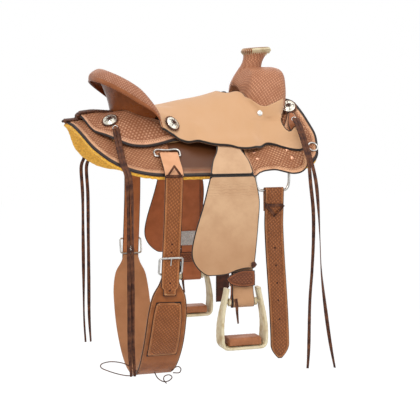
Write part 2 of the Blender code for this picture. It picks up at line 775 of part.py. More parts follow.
def add_fork():
    cover = hollow_skin("fork_cover", fork_rings(0.0), fork_rings(COVER), "russet")
    tree = skin("tree_fork", fork_rings(COVER + GAP), "wood")
    for word, side in SIDES:
        edge = closed_outline(FORK_SEAT + FORK_SEAT[:1], spacing=0.014)
        bars = panel(f"bars_room_{word}", edge, lambda x, w: draped(x, w, side, -0.02),
                     on_deck(side, GAP), "wood", 0.014)
        cut(cover, bars)
        cut(tree, bars)


def horn_frame(up):
    """A place on the horn's leaning axis, a height above the fork, level with its cap."""
    x = HORN_X + math.tan(HORN_LEAN) * up
    return Matrix.Translation((x, 0, FORK_OUT[0][1] + up)) @ Matrix.Rotation(-CAP_TILT, 4, "Y")


def add_horn():
    sides = 24
    rings = []
    for share, radius in NECK_SHAPE:
        place = horn_frame(GAP + NECK_TALL * share)
        rings.append([place @ Vector((radius * math.cos(a), radius * math.sin(a), 0))
                      for a in (2 * math.pi * k / sides for k in range(sides))])
    skin("horn_neck", rings, "russet")
    high = COLLAR_TALL + CAP_THICK
    turned("horn_cap", [(0, 0), (NECK_SHAPE[-1][1], 0), (CAP_R * 0.90, COLLAR_TALL * 0.6),
                        (CAP_R, COLLAR_TALL), (CAP_R + 0.001, high - CAP_THICK * 0.4),
                        (CAP_R - 0.003, high - 0.001), (CAP_R * 0.6, high + 0.001), (0, high + 0.0015)],
           horn_frame(NECK_TALL + 3 * GAP), "rawhide")


# Pieces that are straps, rings and plates

def round_bar(centre, radius, first, last, steps):
    """Points on an arc in a (y, z) plane round a centre, by angles in degrees."""
    found = []
    for k in range(steps + 1):
        a = math.radians(first + (last - first) * k / steps)
        found.append((centre[0] + radius * math.cos(a), centre[1] + radius * math.sin(a)))
    return found


def strap(name, side, route, width, thick, finish):
    """A strap along (x, y, z) points on one side; width(share) is its width along it."""
    path = [Vector((x, y * side, z)) for x, y, z in route]
    lengths = [0.0]
    for a, b in zip(path, path[1:]):
        lengths.append(lengths[-1] + (b - a).length)

    def section(i):
        return flat_section(width(lengths[i] / lengths[-1]), thick, min(0.001, width(1.0) / 4))

    return sweep(name, path, Vector((1, 0, 0)), section, finish, smooth_angle=50)


def ring(name, route, radius, finish, spacing, side_axis, sides=6):
    path = even_curve(route, spacing, closed=True)
    return sweep(name, path, side_axis, round_section(radius, sides), finish, closed=True,
                 smooth_angle=80)


def plate(name, outline, inner, outer, side, finish, pitch=COARSE, spacing=FINE):
    """A flat piece in a plane of constant Y, from its (x, z) outline."""
    edge = closed_outline(*outline, spacing=spacing)
    return panel(name, edge, lambda x, z: Vector((x, inner * side, z)),
                 lambda x, z: Vector((x, outer * side, z)), finish, pitch)


# Legs

NECK_EDGE = [[(0.050, 0.108), (0.128, 0.108)], [(0.128, 0.108), (0.122, 0.145), (0.134, 0.184),
                                               (0.134, 0.2231)],
             [(0.134, 0.2231), (0.012, 0.2231)], [(0.012, 0.2231), (0.030, 0.184), (0.055, 0.145),
                                                (0.050, 0.108)]]
FENDER_EDGE = [[(0.010, LEG_TOP_Z), (0.137, LEG_TOP_Z)],
               [(0.137, LEG_TOP_Z), (0.150, -0.186), (0.147, -0.254), (0.139, -0.340),
                (0.134, -0.372)],
               [(0.134, -0.372), (0.110, -0.371), (0.084, -0.376), (0.057, -0.385), (0.019, -0.387),
                (-0.003, -0.384), (-0.029, -0.361), (-0.042, -0.328), (-0.035, -0.279),
                (-0.009, -0.194), (0.010, LEG_TOP_Z)]]
FLAP_EDGE = [[(0.053, -0.396), (0.078, -0.382), (0.104, -0.375), (0.136, -0.377)],
             [(0.136, -0.377), (0.137, -0.418)],
             [(0.137, -0.418), (0.104, -0.421), (0.069, -0.413), (0.053, -0.396)]]


def add_leathers():
    for word, side in SIDES:
        edge = closed_outline(*NECK_EDGE)
        panel(f"leather_neck_{word}", edge, lambda x, w: draped(x, w, side, NECK_LOW),
              lambda x, w: draped(x, w, side, NECK_HIGH), "roughout")
        plate(f"fender_{word}", FENDER_EDGE, FENDER_Y, FENDER_Y + FENDER, side, "roughout", 0.05,
              spacing=0.025)
        inner = [(LEATHER_Y - PLY_Y, z) for z in (LEG_TOP_Z - 0.004, -0.2, -0.3, -0.38, -0.415, -0.430)]
        loop = round_bar((LEATHER_Y, BOLT_Z), LOOP_R, 150, 390, 12)
        outer = [(LEATHER_Y + PLY_Y, z) for z in (-0.430, -0.415, -0.38)]
        strap(f"stirrup_leather_{word}", side,
              [(STIRRUP_X, y, z) for y, z in inner + loop + outer],
              lambda share: LEATHER_WIDE, LEATHER_THICK, "roughout")
        wall = 0.0035
        low, high = HOBBLE_Z - HOBBLE_TALL / 2, HOBBLE_Z + HOBBLE_TALL / 2
        half_x = LEATHER_WIDE / 2 + GAP
        half_y = PLY_Y + LEATHER_THICK / 2 + GAP
        band = rounded_tube(f"hobble_strap_{word}", (STIRRUP_X, LEATHER_Y * side), half_x, half_y,
                            wall, low, high, "russet")
        flap = plate(f"hobble_flap_{word}", FLAP_EDGE, FENDER_Y + FENDER + GAP,
                     FENDER_Y + FENDER + GAP + 0.003, side, "russet", 0.05)
        spacer = plate(f"hobble_spacer_{word}",
                       [[(STIRRUP_X - 0.025, low + 0.004), (STIRRUP_X + 0.025, low + 0.004)],
                        [(STIRRUP_X + 0.025, low + 0.004), (STIRRUP_X + 0.025, -0.391)],
                        [(STIRRUP_X + 0.025, -0.391), (STIRRUP_X - 0.025, -0.391)],
                        [(STIRRUP_X - 0.025, -0.391), (STIRRUP_X - 0.025, low + 0.004)]],
                       FENDER_Y + 0.001, FENDER_Y + FENDER + 0.002, side, "russet", 0.05)
        join(band, spacer)
        join(band, flap)
        half_wide, half_tall = 0.034, 0.022
        corners = [(STIRRUP_X - half_wide, BUCKLE_Z - half_tall),
                   (STIRRUP_X + half_wide, BUCKLE_Z - half_tall),
                   (STIRRUP_X + half_wide, BUCKLE_Z + half_tall),
                   (STIRRUP_X - half_wide, BUCKLE_Z + half_tall)]
        back = LEATHER_Y - PLY_Y - LEATHER_THICK / 2 - GAP
        plate(f"plate_buckle_{word}", [[a, b] for a, b in zip(corners, corners[1:] + corners[:1])],
              back - 0.003, back, side, "steel", 0.05)


def rounded_tube(name, centre, half_x, half_y, wall, low, high, finish):
    """An upright rectangular sleeve with rounded corners."""
    outline = []
    corner = 0.002
    for k in range(4):
        sx = 1 if k in (0, 3) else -1
        sy = 1 if k in (0, 1) else -1
        for step in range(3):
            a = math.radians(90 * k + 45 * step)
            outline.append((sx * (half_x - corner) + corner * math.cos(a),
                            sy * (half_y - corner) + corner * math.sin(a)))
    verts, faces = [], []
    count = len(outline)
    for z in (low, high):
        for grow in (0.0, wall):
            for x, y in outline:
                length = math.hypot(math.copysign(1, x), math.copysign(1, y))
                verts.append(Vector((centre[0] + x + math.copysign(grow, x) * 1.414 / length,
                                     centre[1] + y + math.copysign(grow, y) * 1.414 / length, z)))
    for k in range(count):
        n = (k + 1) % count
        inner, outer, above = 0, count, 2 * count
        faces.append((inner + k, inner + n, above + inner + n, above + inner + k))
        faces.append((outer + n, outer + k, above + outer + k, above + outer + n))
        faces.append((inner + n, inner + k, outer + k, outer + n))
        faces.append((above + inner + k, above + inner + n, above + outer + n, above + outer + k))
    return add_mesh(name, verts, faces, finish)


# Half of a stirrup's side as (x, z, depth in y), from its top to the middle of its bottom
BRANCH = [(0.0445, -0.424, 0.029), (0.0485, -0.444, 0.030), (0.0535, -0.468, 0.033),
          (0.0590, -0.497, 0.040), (0.0625, -0.527, 0.048), (0.0625, -0.556, 0.055),
          (0.0605, -0.575, 0.058), (0.0520, -0.5852, 0.058), (0.0300, -0.5865, 0.058),
          (0.0, -0.5865, 0.058)]


def add_stirrups():
    for word, side in SIDES:
        half = [Vector((x, z, deep)) for x, z, deep in BRANCH]
        row = [Vector((-p.x, p.y, p.z)) for p in half] + half[-2::-1]
        path = smooth_curve(row, 0.022)
        deep = [p.z for p in path]
        points = [Vector((STIRRUP_X + p.x, LEATHER_Y * side, p.y)) for p in path]
        frame = sweep(f"stirrup_frame_{word}", points, Vector((0, 1, 0)),
                      lambda i: flat_section(deep[i], FRAME_THICK, 0.0025), "rawhide", smooth_angle=50)
        across = Matrix.Translation((STIRRUP_X, LEATHER_Y * side, BOLT_Z)) @ Matrix.Rotation(
            math.pi / 2, 4, "Y")
        bolt = turned(f"stirrup_bolt_{word}", [(0, -0.0525), (0.004, -0.0525), (0.004, -0.040),
                                               (BOLT_R, -0.040), (BOLT_R, 0.040), (0.004, 0.040),
                                               (0.004, 0.0525), (0, 0.0525)], across, "rawhide", 16)
        join(frame, bolt)
        half_long = TREAD_LONG / 2
        tread_path = [Vector((STIRRUP_X + u * half_long, LEATHER_Y * side,
                              (TREAD_TOP_Z + TREAD_LOW_Z) / 2)) for u in (-1, -0.5, 0, 0.5, 1)]
        sweep(f"stirrup_tread_{word}", tread_path, Vector((0, 1, 0)),
              flat_section(TREAD_DEEP, TREAD_TOP_Z - TREAD_LOW_Z, 0.006), "russet")


# Front rigging

DEE_ROUTE = [(0.172, -0.1005), (0.205, -0.1005), (0.240, -0.1005), (0.253, -0.110), (0.2555, -0.130),
             (0.2535, -0.152), (0.246, -0.1635), (0.234, -0.165), (0.206, -0.165), (0.180, -0.165),
             (0.168, -0.1635), (0.160, -0.152), (0.157, -0.130), (0.160, -0.110)]


def hanging_strap(name, side, x_at, low, width, thick, finish, tail=FOLD_END_Z, apart=0.0):
    """A strap folded over the front dee's lower bar and hanging down to a height."""
    bar = (DEE_Y, DEE_LOW_Z)
    wrap = DEE_WIRE_R + 0.0008 + STRAP / 2
    inner = [(DEE_Y - 0.0040, tail), (DEE_Y - 0.0050, (tail + DEE_LOW_Z) / 2)]
    far = DEE_Y + apart
    outer = [(DEE_Y + 0.0050, -0.195), (DEE_Y + 0.0040, -0.222), (far + 0.0012, -0.245),
             (far, -0.27)]
    z = -0.32
    while z > low + 0.05:
        outer.append((far, z))
        z -= 0.05
    outer += [(far, low + 0.034), (far, low + 0.012), (far, low)]
    route = [(x_at(z), y, z) for y, z in inner + round_bar(bar, wrap, 180, 0, 8) + outer]
    return strap(name, side, route, width, thick, finish)


def add_front_rigging():
    for word, side in SIDES:
        ring(f"front_dee_{word}", [(x, DEE_Y * side, z) for x, z in DEE_ROUTE], DEE_WIRE_R, "steel",
             0.010, Vector((0, 1, 0)))

    def billet_x(z):
        return BILLET_X + 0.022 * smoothstep((-0.20 - z) / 0.43)

    def pointed(share):
        return BILLET_WIDE * (1.0 if share < 0.93 else 1.0 - 0.78 * ((share - 0.93) / 0.07) ** 1.6)

    hanging_strap("off_billet", OFF, billet_x, -0.638, pointed, STRAP, "russet")
    hanging_strap("latigo", NEAR, lambda z: LATIGO_X, -0.545, lambda share: LATIGO_WIDE, STRAP,
                  "burgundy", tail=-0.50, apart=0.0035)


# Flank rigging

REAR_DEE = [(-0.027, 0.0137), (0.0, 0.0115), (0.027, 0.0137), (0.035, 0.007), (0.035, -0.004),
            (0.029, -0.0115), (-0.029, -0.0115), (-0.035, -0.004), (-0.035, 0.007)]
REAR_BAR_V = 0.0115         # from a rear dee's middle down to its lower bar


def flank_x(z):
    return -0.084 - 0.013 * smoothstep((-0.12 - z) / 0.4)


def add_flank():
    for word, side in SIDES:
        place = seated(REAR_DEE_X, REAR_DEE_W, side, REAR_DEE_H)
        up_slope = -side
        ring(f"rear_dee_{word}", [place @ Vector((u, v * up_slope, 0)) for u, v in REAR_DEE],
             FLANK_WIRE_R, "steel", 0.008, place.to_3x3() @ Vector((0, 0, 1)))
        bar = seated(REAR_DEE_X, REAR_DEE_W, 1.0, REAR_DEE_H) @ Vector((0, REAR_BAR_V + FOLD_ROOM - GAP, 0))
        down = (place.to_3x3() @ Vector((0, 1.0, 0)))
        tilt = math.degrees(math.atan2(down.z, abs(down.y)))
        tilt = -abs(tilt)
        wrap = FLANK_WIRE_R + FOLD_ROOM + STRAP / 2
        fold = round_bar((bar.y, bar.z), wrap, tilt + 180, tilt + 80, 4)
        slope_part = [draped(REAR_DEE_X, w, 1.0, h).yz for w, h in
                      ((0.171, 0.0276), (0.186, 0.0268), (0.200, 0.0266))]
        fall = [(0.2272, -0.1165), (0.2280, -0.135), (0.2264, -0.17), (0.2248, -0.22),
                (0.2232, -0.30), (FLANK_Y, -0.36), (FLANK_Y - 0.0004, -0.44)]
        yz = [tuple(p) for p in fold + slope_part] + fall
        route = [Vector((flank_x(z), y, z)) for y, z in yz]
        billet = strap(f"flank_billet_{word}", side, [tuple(p) for p in smooth_curve(route, 0.03)],
                       lambda share: FLANK_WIDE * (1.0 if share < 0.95 else 0.72), STRAP, "burgundy")
        slot = plate(f"tongue_slot_{word}", box_edge(flank_x(-0.359), -0.362, 0.0032, 0.018),
                     FLANK_Y - 0.01, FLANK_Y + 0.01, side, "burgundy", 0.05)
        cut(billet, slot)
        add_flank_buckle(word, side)
    add_cinch()


def box_edge(x, z, half_x, half_z):
    corners = [(x - half_x, z - half_z), (x + half_x, z - half_z), (x + half_x, z + half_z),
               (x - half_x, z + half_z)]
    return [[a, b] for a, b in zip(corners, corners[1:] + corners[:1])]


def add_flank_buckle(word, side):
    """A square buckle whose upper bar crosses over its billet and whose lower bar is behind it."""
    clear = STRAP / 2 + FLANK_WIRE_R + GAP
    top_y, low_y = FLANK_Y + clear, FLANK_Y - clear
    half = FLANK_BUCKLE_WIDE / 2
    middle = flank_x((FLANK_BUCKLE_TOP + FLANK_BUCKLE_LOW) / 2)
    corners = [(-half, FLANK_BUCKLE_TOP, top_y), (half, FLANK_BUCKLE_TOP, top_y),
               (half, FLANK_BUCKLE_LOW, low_y), (-half, FLANK_BUCKLE_LOW, low_y)]
    route = []
    ease = 0.005
    for n, here in enumerate(corners):
        here = Vector(here)
        back, ahead = Vector(corners[n - 1]), Vector(corners[(n + 1) % 4])
        route += [here + (back - here).normalized() * ease, here.lerp((back + ahead) / 2, 0.03),
                  here + (ahead - here).normalized() * ease]
    path = [Vector((middle + x, y * side, z)) for x, z, y in route]
    verts = []
    for a, b in zip(path, path[1:] + path[:1]):
        steps = 2 if (b - a).length > 0.03 else 1
        verts += [a.lerp(b, k / steps) for k in range(steps)]
    lean = Vector((0, (top_y - low_y) * side, FLANK_BUCKLE_TOP - FLANK_BUCKLE_LOW)).normalized()
    sweep(f"flank_buckle_{word}", verts, lean.cross(Vector((1, 0, 0))),
          round_section(FLANK_WIRE_R, 6), "silver", closed=True, smooth_angle=80)
    tip = Vector((middle, (top_y - 0.0006) * side, FLANK_BUCKLE_TOP - FLANK_WIRE_R - 0.0026))
    foot = Vector((middle, low_y * side, FLANK_BUCKLE_LOW + FLANK_WIRE_R + 0.0026))
    tongue = [foot.lerp(tip, k / 4) for k in range(5)]
    sweep(f"buckle_tongue_{word}", tongue, Vector((1, 0, 0)), round_section(0.0019, 6), "silver")


CINCH = [(0.2164, -0.3865, 0.044), (0.2158, -0.410, 0.060), (0.2145, -0.440, 0.092),
         (0.2050, -0.485, 0.108), (0.190, -0.527, 0.112), (0.170, -0.570, 0.114),
         (0.145, -0.609, 0.114), (0.115, -0.645, 0.112), (0.080, -0.674, 0.110),
         (0.042, -0.692, 0.108), (0.0, -0.698, 0.106)]


def add_cinch():
    low_y = FLANK_Y - STRAP / 2 - FLANK_WIRE_R - GAP
    half = [(low_y if k == 0 else y, z, wide) for k, (y, z, wide) in enumerate(CINCH)]
    row = [(-y, z, wide) for y, z, wide in half] + half[-2::-1]
    path = [Vector((flank_x(z), y, z)) for y, z, wide in row]
    widths = [wide for y, z, wide in row]
    sweep("flank_cinch", path, Vector((1, 0, 0)),
          lambda i: flat_section(widths[i], CINCH_THICK, 0.001), "russet", smooth_angle=50)


# Trim

def on_seat(x, w, side, extra):
    """A frame on the seat's top at (x, w), its Z along the leather's normal."""
    step = 0.004
    p = seat_point(x, w * side, SEAT)
    ahead = seat_point(x + step, w * side, SEAT) - seat_point(x - step, w * side, SEAT)
    aside = seat_point(x, w * side + step, SEAT) - seat_point(x, w * side - step, SEAT)
    normal = ahead.cross(aside).normalized()
    ahead.normalize()
    turn = Matrix((ahead, normal.cross(ahead), normal)).transposed().to_4x4()
    return Matrix.Translation(p + normal * extra) @ turn


def seat_rise(x, w, radius):
    """How far the seat's top stands over the plane that touches it at (x, w), within a radius."""
    away = on_seat(x, w, NEAR, 0.0).inverted()
    found = 0.0
    for k in range(56):
        a = 2 * math.pi * k / 56
        p = seat_point(x + radius * math.cos(a), w + radius * math.sin(a), SEAT)
        found = max(found, (away @ p).z)
    return found


CONCHO_SHAPE = [(0, 0), (ROSETTE_R, 0), (ROSETTE_R, 0.0022), (CONCHO_R, 0.0024), (CONCHO_R, 0.0034),
                (CONCHO_R * 0.72, 0.0062), (CONCHO_R * 0.36, 0.0078), (0, 0.0084)]


def add_conchos():
    rise = seat_rise(SEAT_CONCHO_X, SEAT_CONCHO_W, ROSETTE_R) + SEAT_FACET
    for word, side in SIDES:
        places = {"front": seated(0.303, 0.070, side, PLATE_HIGH + CONCHO_GAP),
                  "seat": on_seat(SEAT_CONCHO_X, SEAT_CONCHO_W, side, CONCHO_GAP + rise),
                  "rear": on_deck_frame(-0.221, 0.069, side, GAP + JOCKEY + CONCHO_GAP)}
        for spot, place in places.items():
            turned(f"concho_{spot}_{word}", CONCHO_SHAPE, place, "silver", 14)


def on_deck_frame(x, w, side, extra):
    """A frame on what covers the bars at (x, w), its Z along the surface's normal."""
    step = 0.004
    place = on_deck(side, extra)
    ahead = place(x + step, w) - place(x - step, w)
    aside = (place(x, w + step) - place(x, w - step)) * side
    normal = ahead.cross(aside).normalized()
    ahead.normalize()
    turn = Matrix((ahead, normal.cross(ahead), normal)).transposed().to_4x4()
    return Matrix.Translation(place(x, w)) @ turn


def add_breast_dees():
    for word, side in SIDES:
        place = seated(0.3365, 0.160, side, SKIRT_HIGH + BREAST_WIRE_R + GAP)
        route = [place @ Vector((BREAST_DEE_R * math.cos(a), BREAST_DEE_R * math.sin(a), 0))
                 for a in (math.pi / 4 * k for k in range(8))]
        ring(f"breast_dee_{word}", route, BREAST_WIRE_R, "silver", 0.007,
             place.to_3x3() @ Vector((0, 0, 1)))


def thong(name, route):
    """A saddle string, as a round tube of the strip's width."""
    points = even_curve(route, 6 * STRING_R)
    curve = bpy.data.curves.new(name, "CURVE")
    curve.dimensions = "3D"
    curve.bevel_depth = STRING_R
    curve.bevel_resolution = 2
    curve.use_fill_caps = True
    spline = curve.splines.new("POLY")
    spline.points.add(len(points) - 1)
    for target, p in zip(spline.points, points):
        target.co = (*p, 1.0)
    thing = bpy.data.objects.new(name, curve)
    curve.materials.append(FINISH["burgundy"])
    bpy.context.collection.objects.link(thing)
    return thing


# Where the strings lie on the leather, as (w, offset over the form)
FRONT_LIE = [(0.104, 0.038), (0.125, 0.0462), (0.150, 0.0470), (0.172, 0.0430), (0.198, 0.0400)]
REAR_LIE = SKIRT_HIGH + 0.0085


def add_strings():
    front = [draped(0.297, w, OFF, h + 0.0001) for w, h in FRONT_LIE]
    thong("string_front_off_rear", front + [Vector(p) for p in
          [(0.303, -0.239, -0.145), (0.312, -0.238, -0.220), (0.319, -0.225, -0.300),
           (0.317, -0.222, -0.390), (0.312, -0.220, -0.480), (0.310, -0.220, -0.612),
           (0.307, -0.220, -0.668)]])
    front = [draped(0.312, w, OFF, h - 0.0025) for w, h in FRONT_LIE]
    thong("string_front_off_fore", front + [Vector(p) for p in
          [(0.319, -0.240, -0.145), (0.327, -0.240, -0.220), (0.333, -0.238, -0.300),
           (0.338, -0.238, -0.390), (0.350, -0.236, -0.480), (0.368, -0.234, -0.590),
           (0.385, -0.232, -0.669)]])
    for name, x_top, x_low, side in (("string_rear_off_fore", -0.206, -0.196, OFF),
                                     ("string_rear_off_rear", -0.222, -0.212, OFF),
                                     ("string_rear_near_fore", -0.222, -0.222, NEAR),
                                     ("string_rear_near_rear", -0.238, -0.238, NEAR)):
        lie = [on_deck(side, 0.0113)(x_top, w) for w in (0.098, 0.120, 0.140)]
        lie += [draped(x_top, w, side, REAR_LIE) for w in (0.165, 0.185)]
        fall = [Vector((x_low - 0.004, 0.226 * side, -0.120))]
        fall += [Vector((x_low, 0.228 * side, z)) for z in (-0.20, -0.32, -0.45, -0.57)]
        fall.append(Vector((x_low + 0.004, 0.228 * side, -0.65)))
        thong(name, lie + fall)


# Joint axes

def set_origin(name, pivot):
    """Puts a moving piece's origin on its joint's axis; its shape stays where it is."""
    thing = bpy.data.objects[name]
    thing.data.transform(Matrix.Translation(-pivot))
    thing.location = pivot


def set_origins():
    buckle_x = flank_x((FLANK_BUCKLE_TOP + FLANK_BUCKLE_LOW) / 2)
    buckle_y = FLANK_Y - STRAP / 2 - FLANK_WIRE_R - GAP
    dee = Vector((REAR_DEE_X, 0, seated(REAR_DEE_X, REAR_DEE_W, 1.0, REAR_DEE_H).translation.z))
    set_origin("flank_cinch", dee)
    set_origin("off_billet", Vector((BILLET_X, OFF * DEE_Y, DEE_LOW_Z)))
    set_origin("latigo", Vector((LATIGO_X, DEE_Y, DEE_LOW_Z)))
    for word, side in SIDES:
        set_origin(f"leather_neck_{word}", Vector((SWING_X, SWING_W * side, SWING_Z)))
        for name in ("fender", "stirrup_leather", "hobble_strap", "plate_buckle"):
            set_origin(f"{name}_{word}", Vector((SWING_X, LIFT_Y * side, LIFT_Z)))
        for name in ("stirrup_frame", "stirrup_tread"):
            set_origin(f"{name}_{word}", Vector((STIRRUP_X, LEATHER_Y * side, BOLT_Z)))
        set_origin(f"flank_billet_{word}", dee)
        set_origin(f"flank_buckle_{word}", dee)
        set_origin(f"buckle_tongue_{word}", Vector((buckle_x, buckle_y * side, FLANK_BUCKLE_LOW)))
        place = seated(0.3365, 0.160, side, SKIRT_HIGH + BREAST_WIRE_R + GAP)
        set_origin(f"breast_dee_{word}", place @ Vector((0, BREAST_DEE_R * side, 0)))


FINISH = {}


def main():
    clear_scene()
    for name, values in FINISHES.items():
        FINISH[name] = make_material(name, *values)
    add_skirts()
    add_jockeys()
    add_plates()
    add_bars()
    add_seat()
    add_cantle()
    add_fork()
    add_horn()
    add_leathers()
    add_stirrups()
    add_front_rigging()
    add_flank()
    add_conchos()
    add_breast_dees()
    add_strings()
    set_origins()


main()
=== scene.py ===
import math

import bmesh
import bpy
import numpy as np
from mathutils import Matrix, Vector, geometry, noise
from mathutils.bvhtree import BVHTree


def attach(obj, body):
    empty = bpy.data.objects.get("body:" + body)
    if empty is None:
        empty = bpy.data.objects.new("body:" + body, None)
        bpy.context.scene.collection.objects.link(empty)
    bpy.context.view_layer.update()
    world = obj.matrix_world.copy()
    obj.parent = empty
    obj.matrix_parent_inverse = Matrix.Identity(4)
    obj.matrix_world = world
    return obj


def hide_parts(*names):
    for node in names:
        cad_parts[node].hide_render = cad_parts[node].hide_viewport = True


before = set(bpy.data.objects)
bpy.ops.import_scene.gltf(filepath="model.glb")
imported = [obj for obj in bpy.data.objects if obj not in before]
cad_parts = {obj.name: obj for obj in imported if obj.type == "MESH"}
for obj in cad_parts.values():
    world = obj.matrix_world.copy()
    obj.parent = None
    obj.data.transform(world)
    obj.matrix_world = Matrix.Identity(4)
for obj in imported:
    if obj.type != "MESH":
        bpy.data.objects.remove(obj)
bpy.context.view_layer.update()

bl_info = {
    "name": "Western saddle",
    "version": (1, 0, 0),
    "blender": (4, 5, 0),
    "location": "View3D > Sidebar > Saddle",
    "description": "Dresses a jointed western saddle in tooled leather, rawhide, fleece and steel",
    "category": "Add Mesh",
}

# Sizes of the saddle, in metres, as the CAD has them. Near side is left, off side is right.
GAP = 0.0005                    # room between pieces that lie on each other
LAYER_GAP = 0.0013
OFF, NEAR = -1.0, 1.0
SIDES = (("off", OFF), ("near", NEAR))
# The horse's back
RIDGE_Z = 0.026
RIDGE_ROUND = 0.035
SLOPE = 0.90
BREAK_X = 0.15
BREAK_RUN = 0.21
WITHERS_RISE = 0.104
WITHERS_STEEPEN = 0.48
LOIN_DROP = 0.020
LOIN_FLATTEN = 0.10
# Thicknesses of the layers
FLEECE = 0.012
SKIRT = 0.005
PLATE = 0.004
JOCKEY = 0.0045
SEAT = 0.005
GROUND = 0.007
FENDER = 0.004
STRAP = 0.004
# Cantle
CANTLE_X = -0.095
CANTLE_DEPTH = 0.143
CANTLE_HALF = 0.148
CANTLE_TOP = 0.158
CANTLE_END = 0.026
ROLL_WIDE = 0.041
ROLL_THICK = 0.013
# Fork and horn
FORK_SHEAR = 0.020
HORN_X = 0.214
HORN_LEAN = math.radians(22.0)
CAP_TILT = math.radians(4.0)
NECK_TALL = 0.030
NECK_TOP_R = 0.0295
CAP_THICK = 0.013
COLLAR_TALL = 0.009
NECK_LOW, NECK_HIGH = 0.030, 0.0366
NECK_ROOM = 0.0366
# Leathers, fenders and stirrups
LEG_TOP_Z = -0.1194
FENDER_Y = 0.2450
LEATHER_WIDE = 0.064
LEATHER_THICK = 0.0035
LEATHER_Y = 0.2405
PLY_Y = 0.00225
LOOP_R = 0.0130
BOLT_Z = -0.463
BOLT_R = 0.0107
HOBBLE_Z = -0.404
HOBBLE_TALL = 0.030
STIRRUP_X = 0.104
FRAME_THICK = 0.010
TREAD_TOP_Z = -0.557
TREAD_LOW_Z = -0.5803
TREAD_LONG = 0.090
TREAD_DEEP = 0.058
# Front and rear rigging
DEE_WIRE_R = 0.0037
DEE_Y = 0.198
DEE_LOW_Z = -0.165
BILLET_WIDE = 0.056
FOLD_END_Z = -0.222
REAR_DEE_X = -0.084
REAR_DEE_W = 0.147
REAR_DEE_H = 0.0208
FLANK_WIDE = 0.050
FLANK_Y = 0.2222
FLANK_BUCKLE_TOP = -0.337
FLANK_BUCKLE_LOW = -0.381
FLANK_BUCKLE_WIDE = 0.064
FLANK_WIRE_R = 0.0028
CINCH_THICK = 0.005
# Trim
CONCHO_R = 0.0190
ROSETTE_R = 0.0235
BREAST_DEE_R = 0.0135
BREAST_WIRE_R = 0.0022
FOLD_ROOM = 0.0024
SEAT_CONCHO_W = 0.703 * CANTLE_HALF
# Meshes and dressed pieces
COARSE = 0.034
CREST_POWER = 0.55
BEAD = 0.0014                   # roundness of a cut edge
ROWS = (0.0004, 0.0012, 0.0025, 0.0045)         # rows of points in from a cut edge
ROW_SHARE = 0.87                # height of a row of triangles over its pitch
FAR_IN = 0.05                   # the distance from an edge, told where there is none
WOOL_UNEVEN = 0.0022            # how far the locks of the fleece hang
PLATE_TRIM, PLATE_REAR = 0.0025, 0.170          # the plate's rear edge, drawn ahead for the leathers
APRON_LOW = 0.020
NARROW = 0.006                  # half width under which a belt's rounded edges close up
BOARD_GAP, BOARD = 0.0012, 0.006
CORE_DEPTH, CORE_ROOM = 0.006, 0.001            # the fork's wood inside its cover
SHOULDER_X, SHOULDER_Z = 0.288, 0.170           # the middle of the fork's squared shoulder
SHOULDER_REACH, SHOULDER_PUSH = 0.050, 0.0085
STRAP_TRIM = 0.0016             # how much narrower the stirrup leather is than its CAD node
BAND_ROOM_X, BAND_ROOM_Y = 0.0025, 0.0022
BILLET_TOP_Y = 0.2272
SCREW_X, SCREW_Z = 0.1990, 0.046
X_AXIS, Y_AXIS, Z_AXIS = Vector((1, 0, 0)), Vector((0, 1, 0)), Vector((0, 0, 1))
ANY_SIDE = Vector((0.31, 0.52, 0.79))           # along none of the paths


# Plain geometry

def oval(sides, across=1.0, up=1.0):
    """Points round a circle, or round a square with soft corners where the powers are under 1."""
    found = []
    for k in range(sides):
        a = 2 * math.pi * k / sides
        c, s = math.cos(a), math.sin(a)
        found.append((math.copysign(abs(c) ** across, c), math.copysign(abs(s) ** up, s)))
    return found


def travelled(path):
    """The length along a path at each of its points."""
    lengths = [0.0]
    for a, b in zip(path, path[1:]):
        lengths.append(lengths[-1] + (b - a).length)
    return lengths


def mirrored(half):
    """A whole row of points from its off half, which ends in the middle."""
    return [Vector((-p.x, p.y, p.z)) for p in half] + half[-2::-1]


def frame_at(point, ahead, normal):
    """A place at a point, with its X ahead and its Z along a normal."""
    return Matrix.Translation(point) @ Matrix((ahead, normal.cross(ahead), normal)).transposed().to_4x4()


def smoothstep(t):
    t = min(max(t, 0.0), 1.0)
    return t * t * (3 - 2 * t)

def along(table, x):
    """The value at x of a smooth curve through (x, value) pairs, level past its ends."""
    if x <= table[0][0]:
        return table[0][1]
    if x >= table[-1][0]:
        return table[-1][1]
    n = max(i for i, row in enumerate(table) if row[0] <= x)
    n = min(n, len(table) - 2)

    def slope(i):
        low, high = max(i - 1, 0), min(i + 1, len(table) - 1)
        return (table[high][1] - table[low][1]) / (table[high][0] - table[low][0])

    run = table[n + 1][0] - table[n][0]
    t = (x - table[n][0]) / run
    a = (2 * t ** 3 - 3 * t ** 2 + 1) * table[n][1] + (t ** 3 - 2 * t ** 2 + t) * run * slope(n)
    b = (3 * t ** 2 - 2 * t ** 3) * table[n + 1][1] + (t ** 3 - t ** 2) * run * slope(n + 1)
    return a + b


def smooth_curve(points, spacing, closed=False):
    """Points about a spacing apart on a smooth curve through the given points."""
    points = [Vector(p) for p in points]
    count = len(points)
    found = []
    for i in range(count if closed else count - 1):
        if closed:
            p0, p1, p2, p3 = (points[(i + k) % count] for k in (-1, 0, 1, 2))
        else:
            p0, p3 = points[max(i - 1, 0)], points[min(i + 2, count - 1)]
            p1, p2 = points[i], points[i + 1]
        steps = max(1, round((p2 - p1).length / spacing))
        for k in range(steps):
            t = k / steps
            found.append(0.5 * (2 * p1 + (p2 - p0) * t + (2 * p0 - 5 * p1 + 4 * p2 - p3) * t * t
                                + (3 * p1 - p0 - 3 * p2 + p3) * t ** 3))
    if not closed:
        found.append(points[-1])
    return found


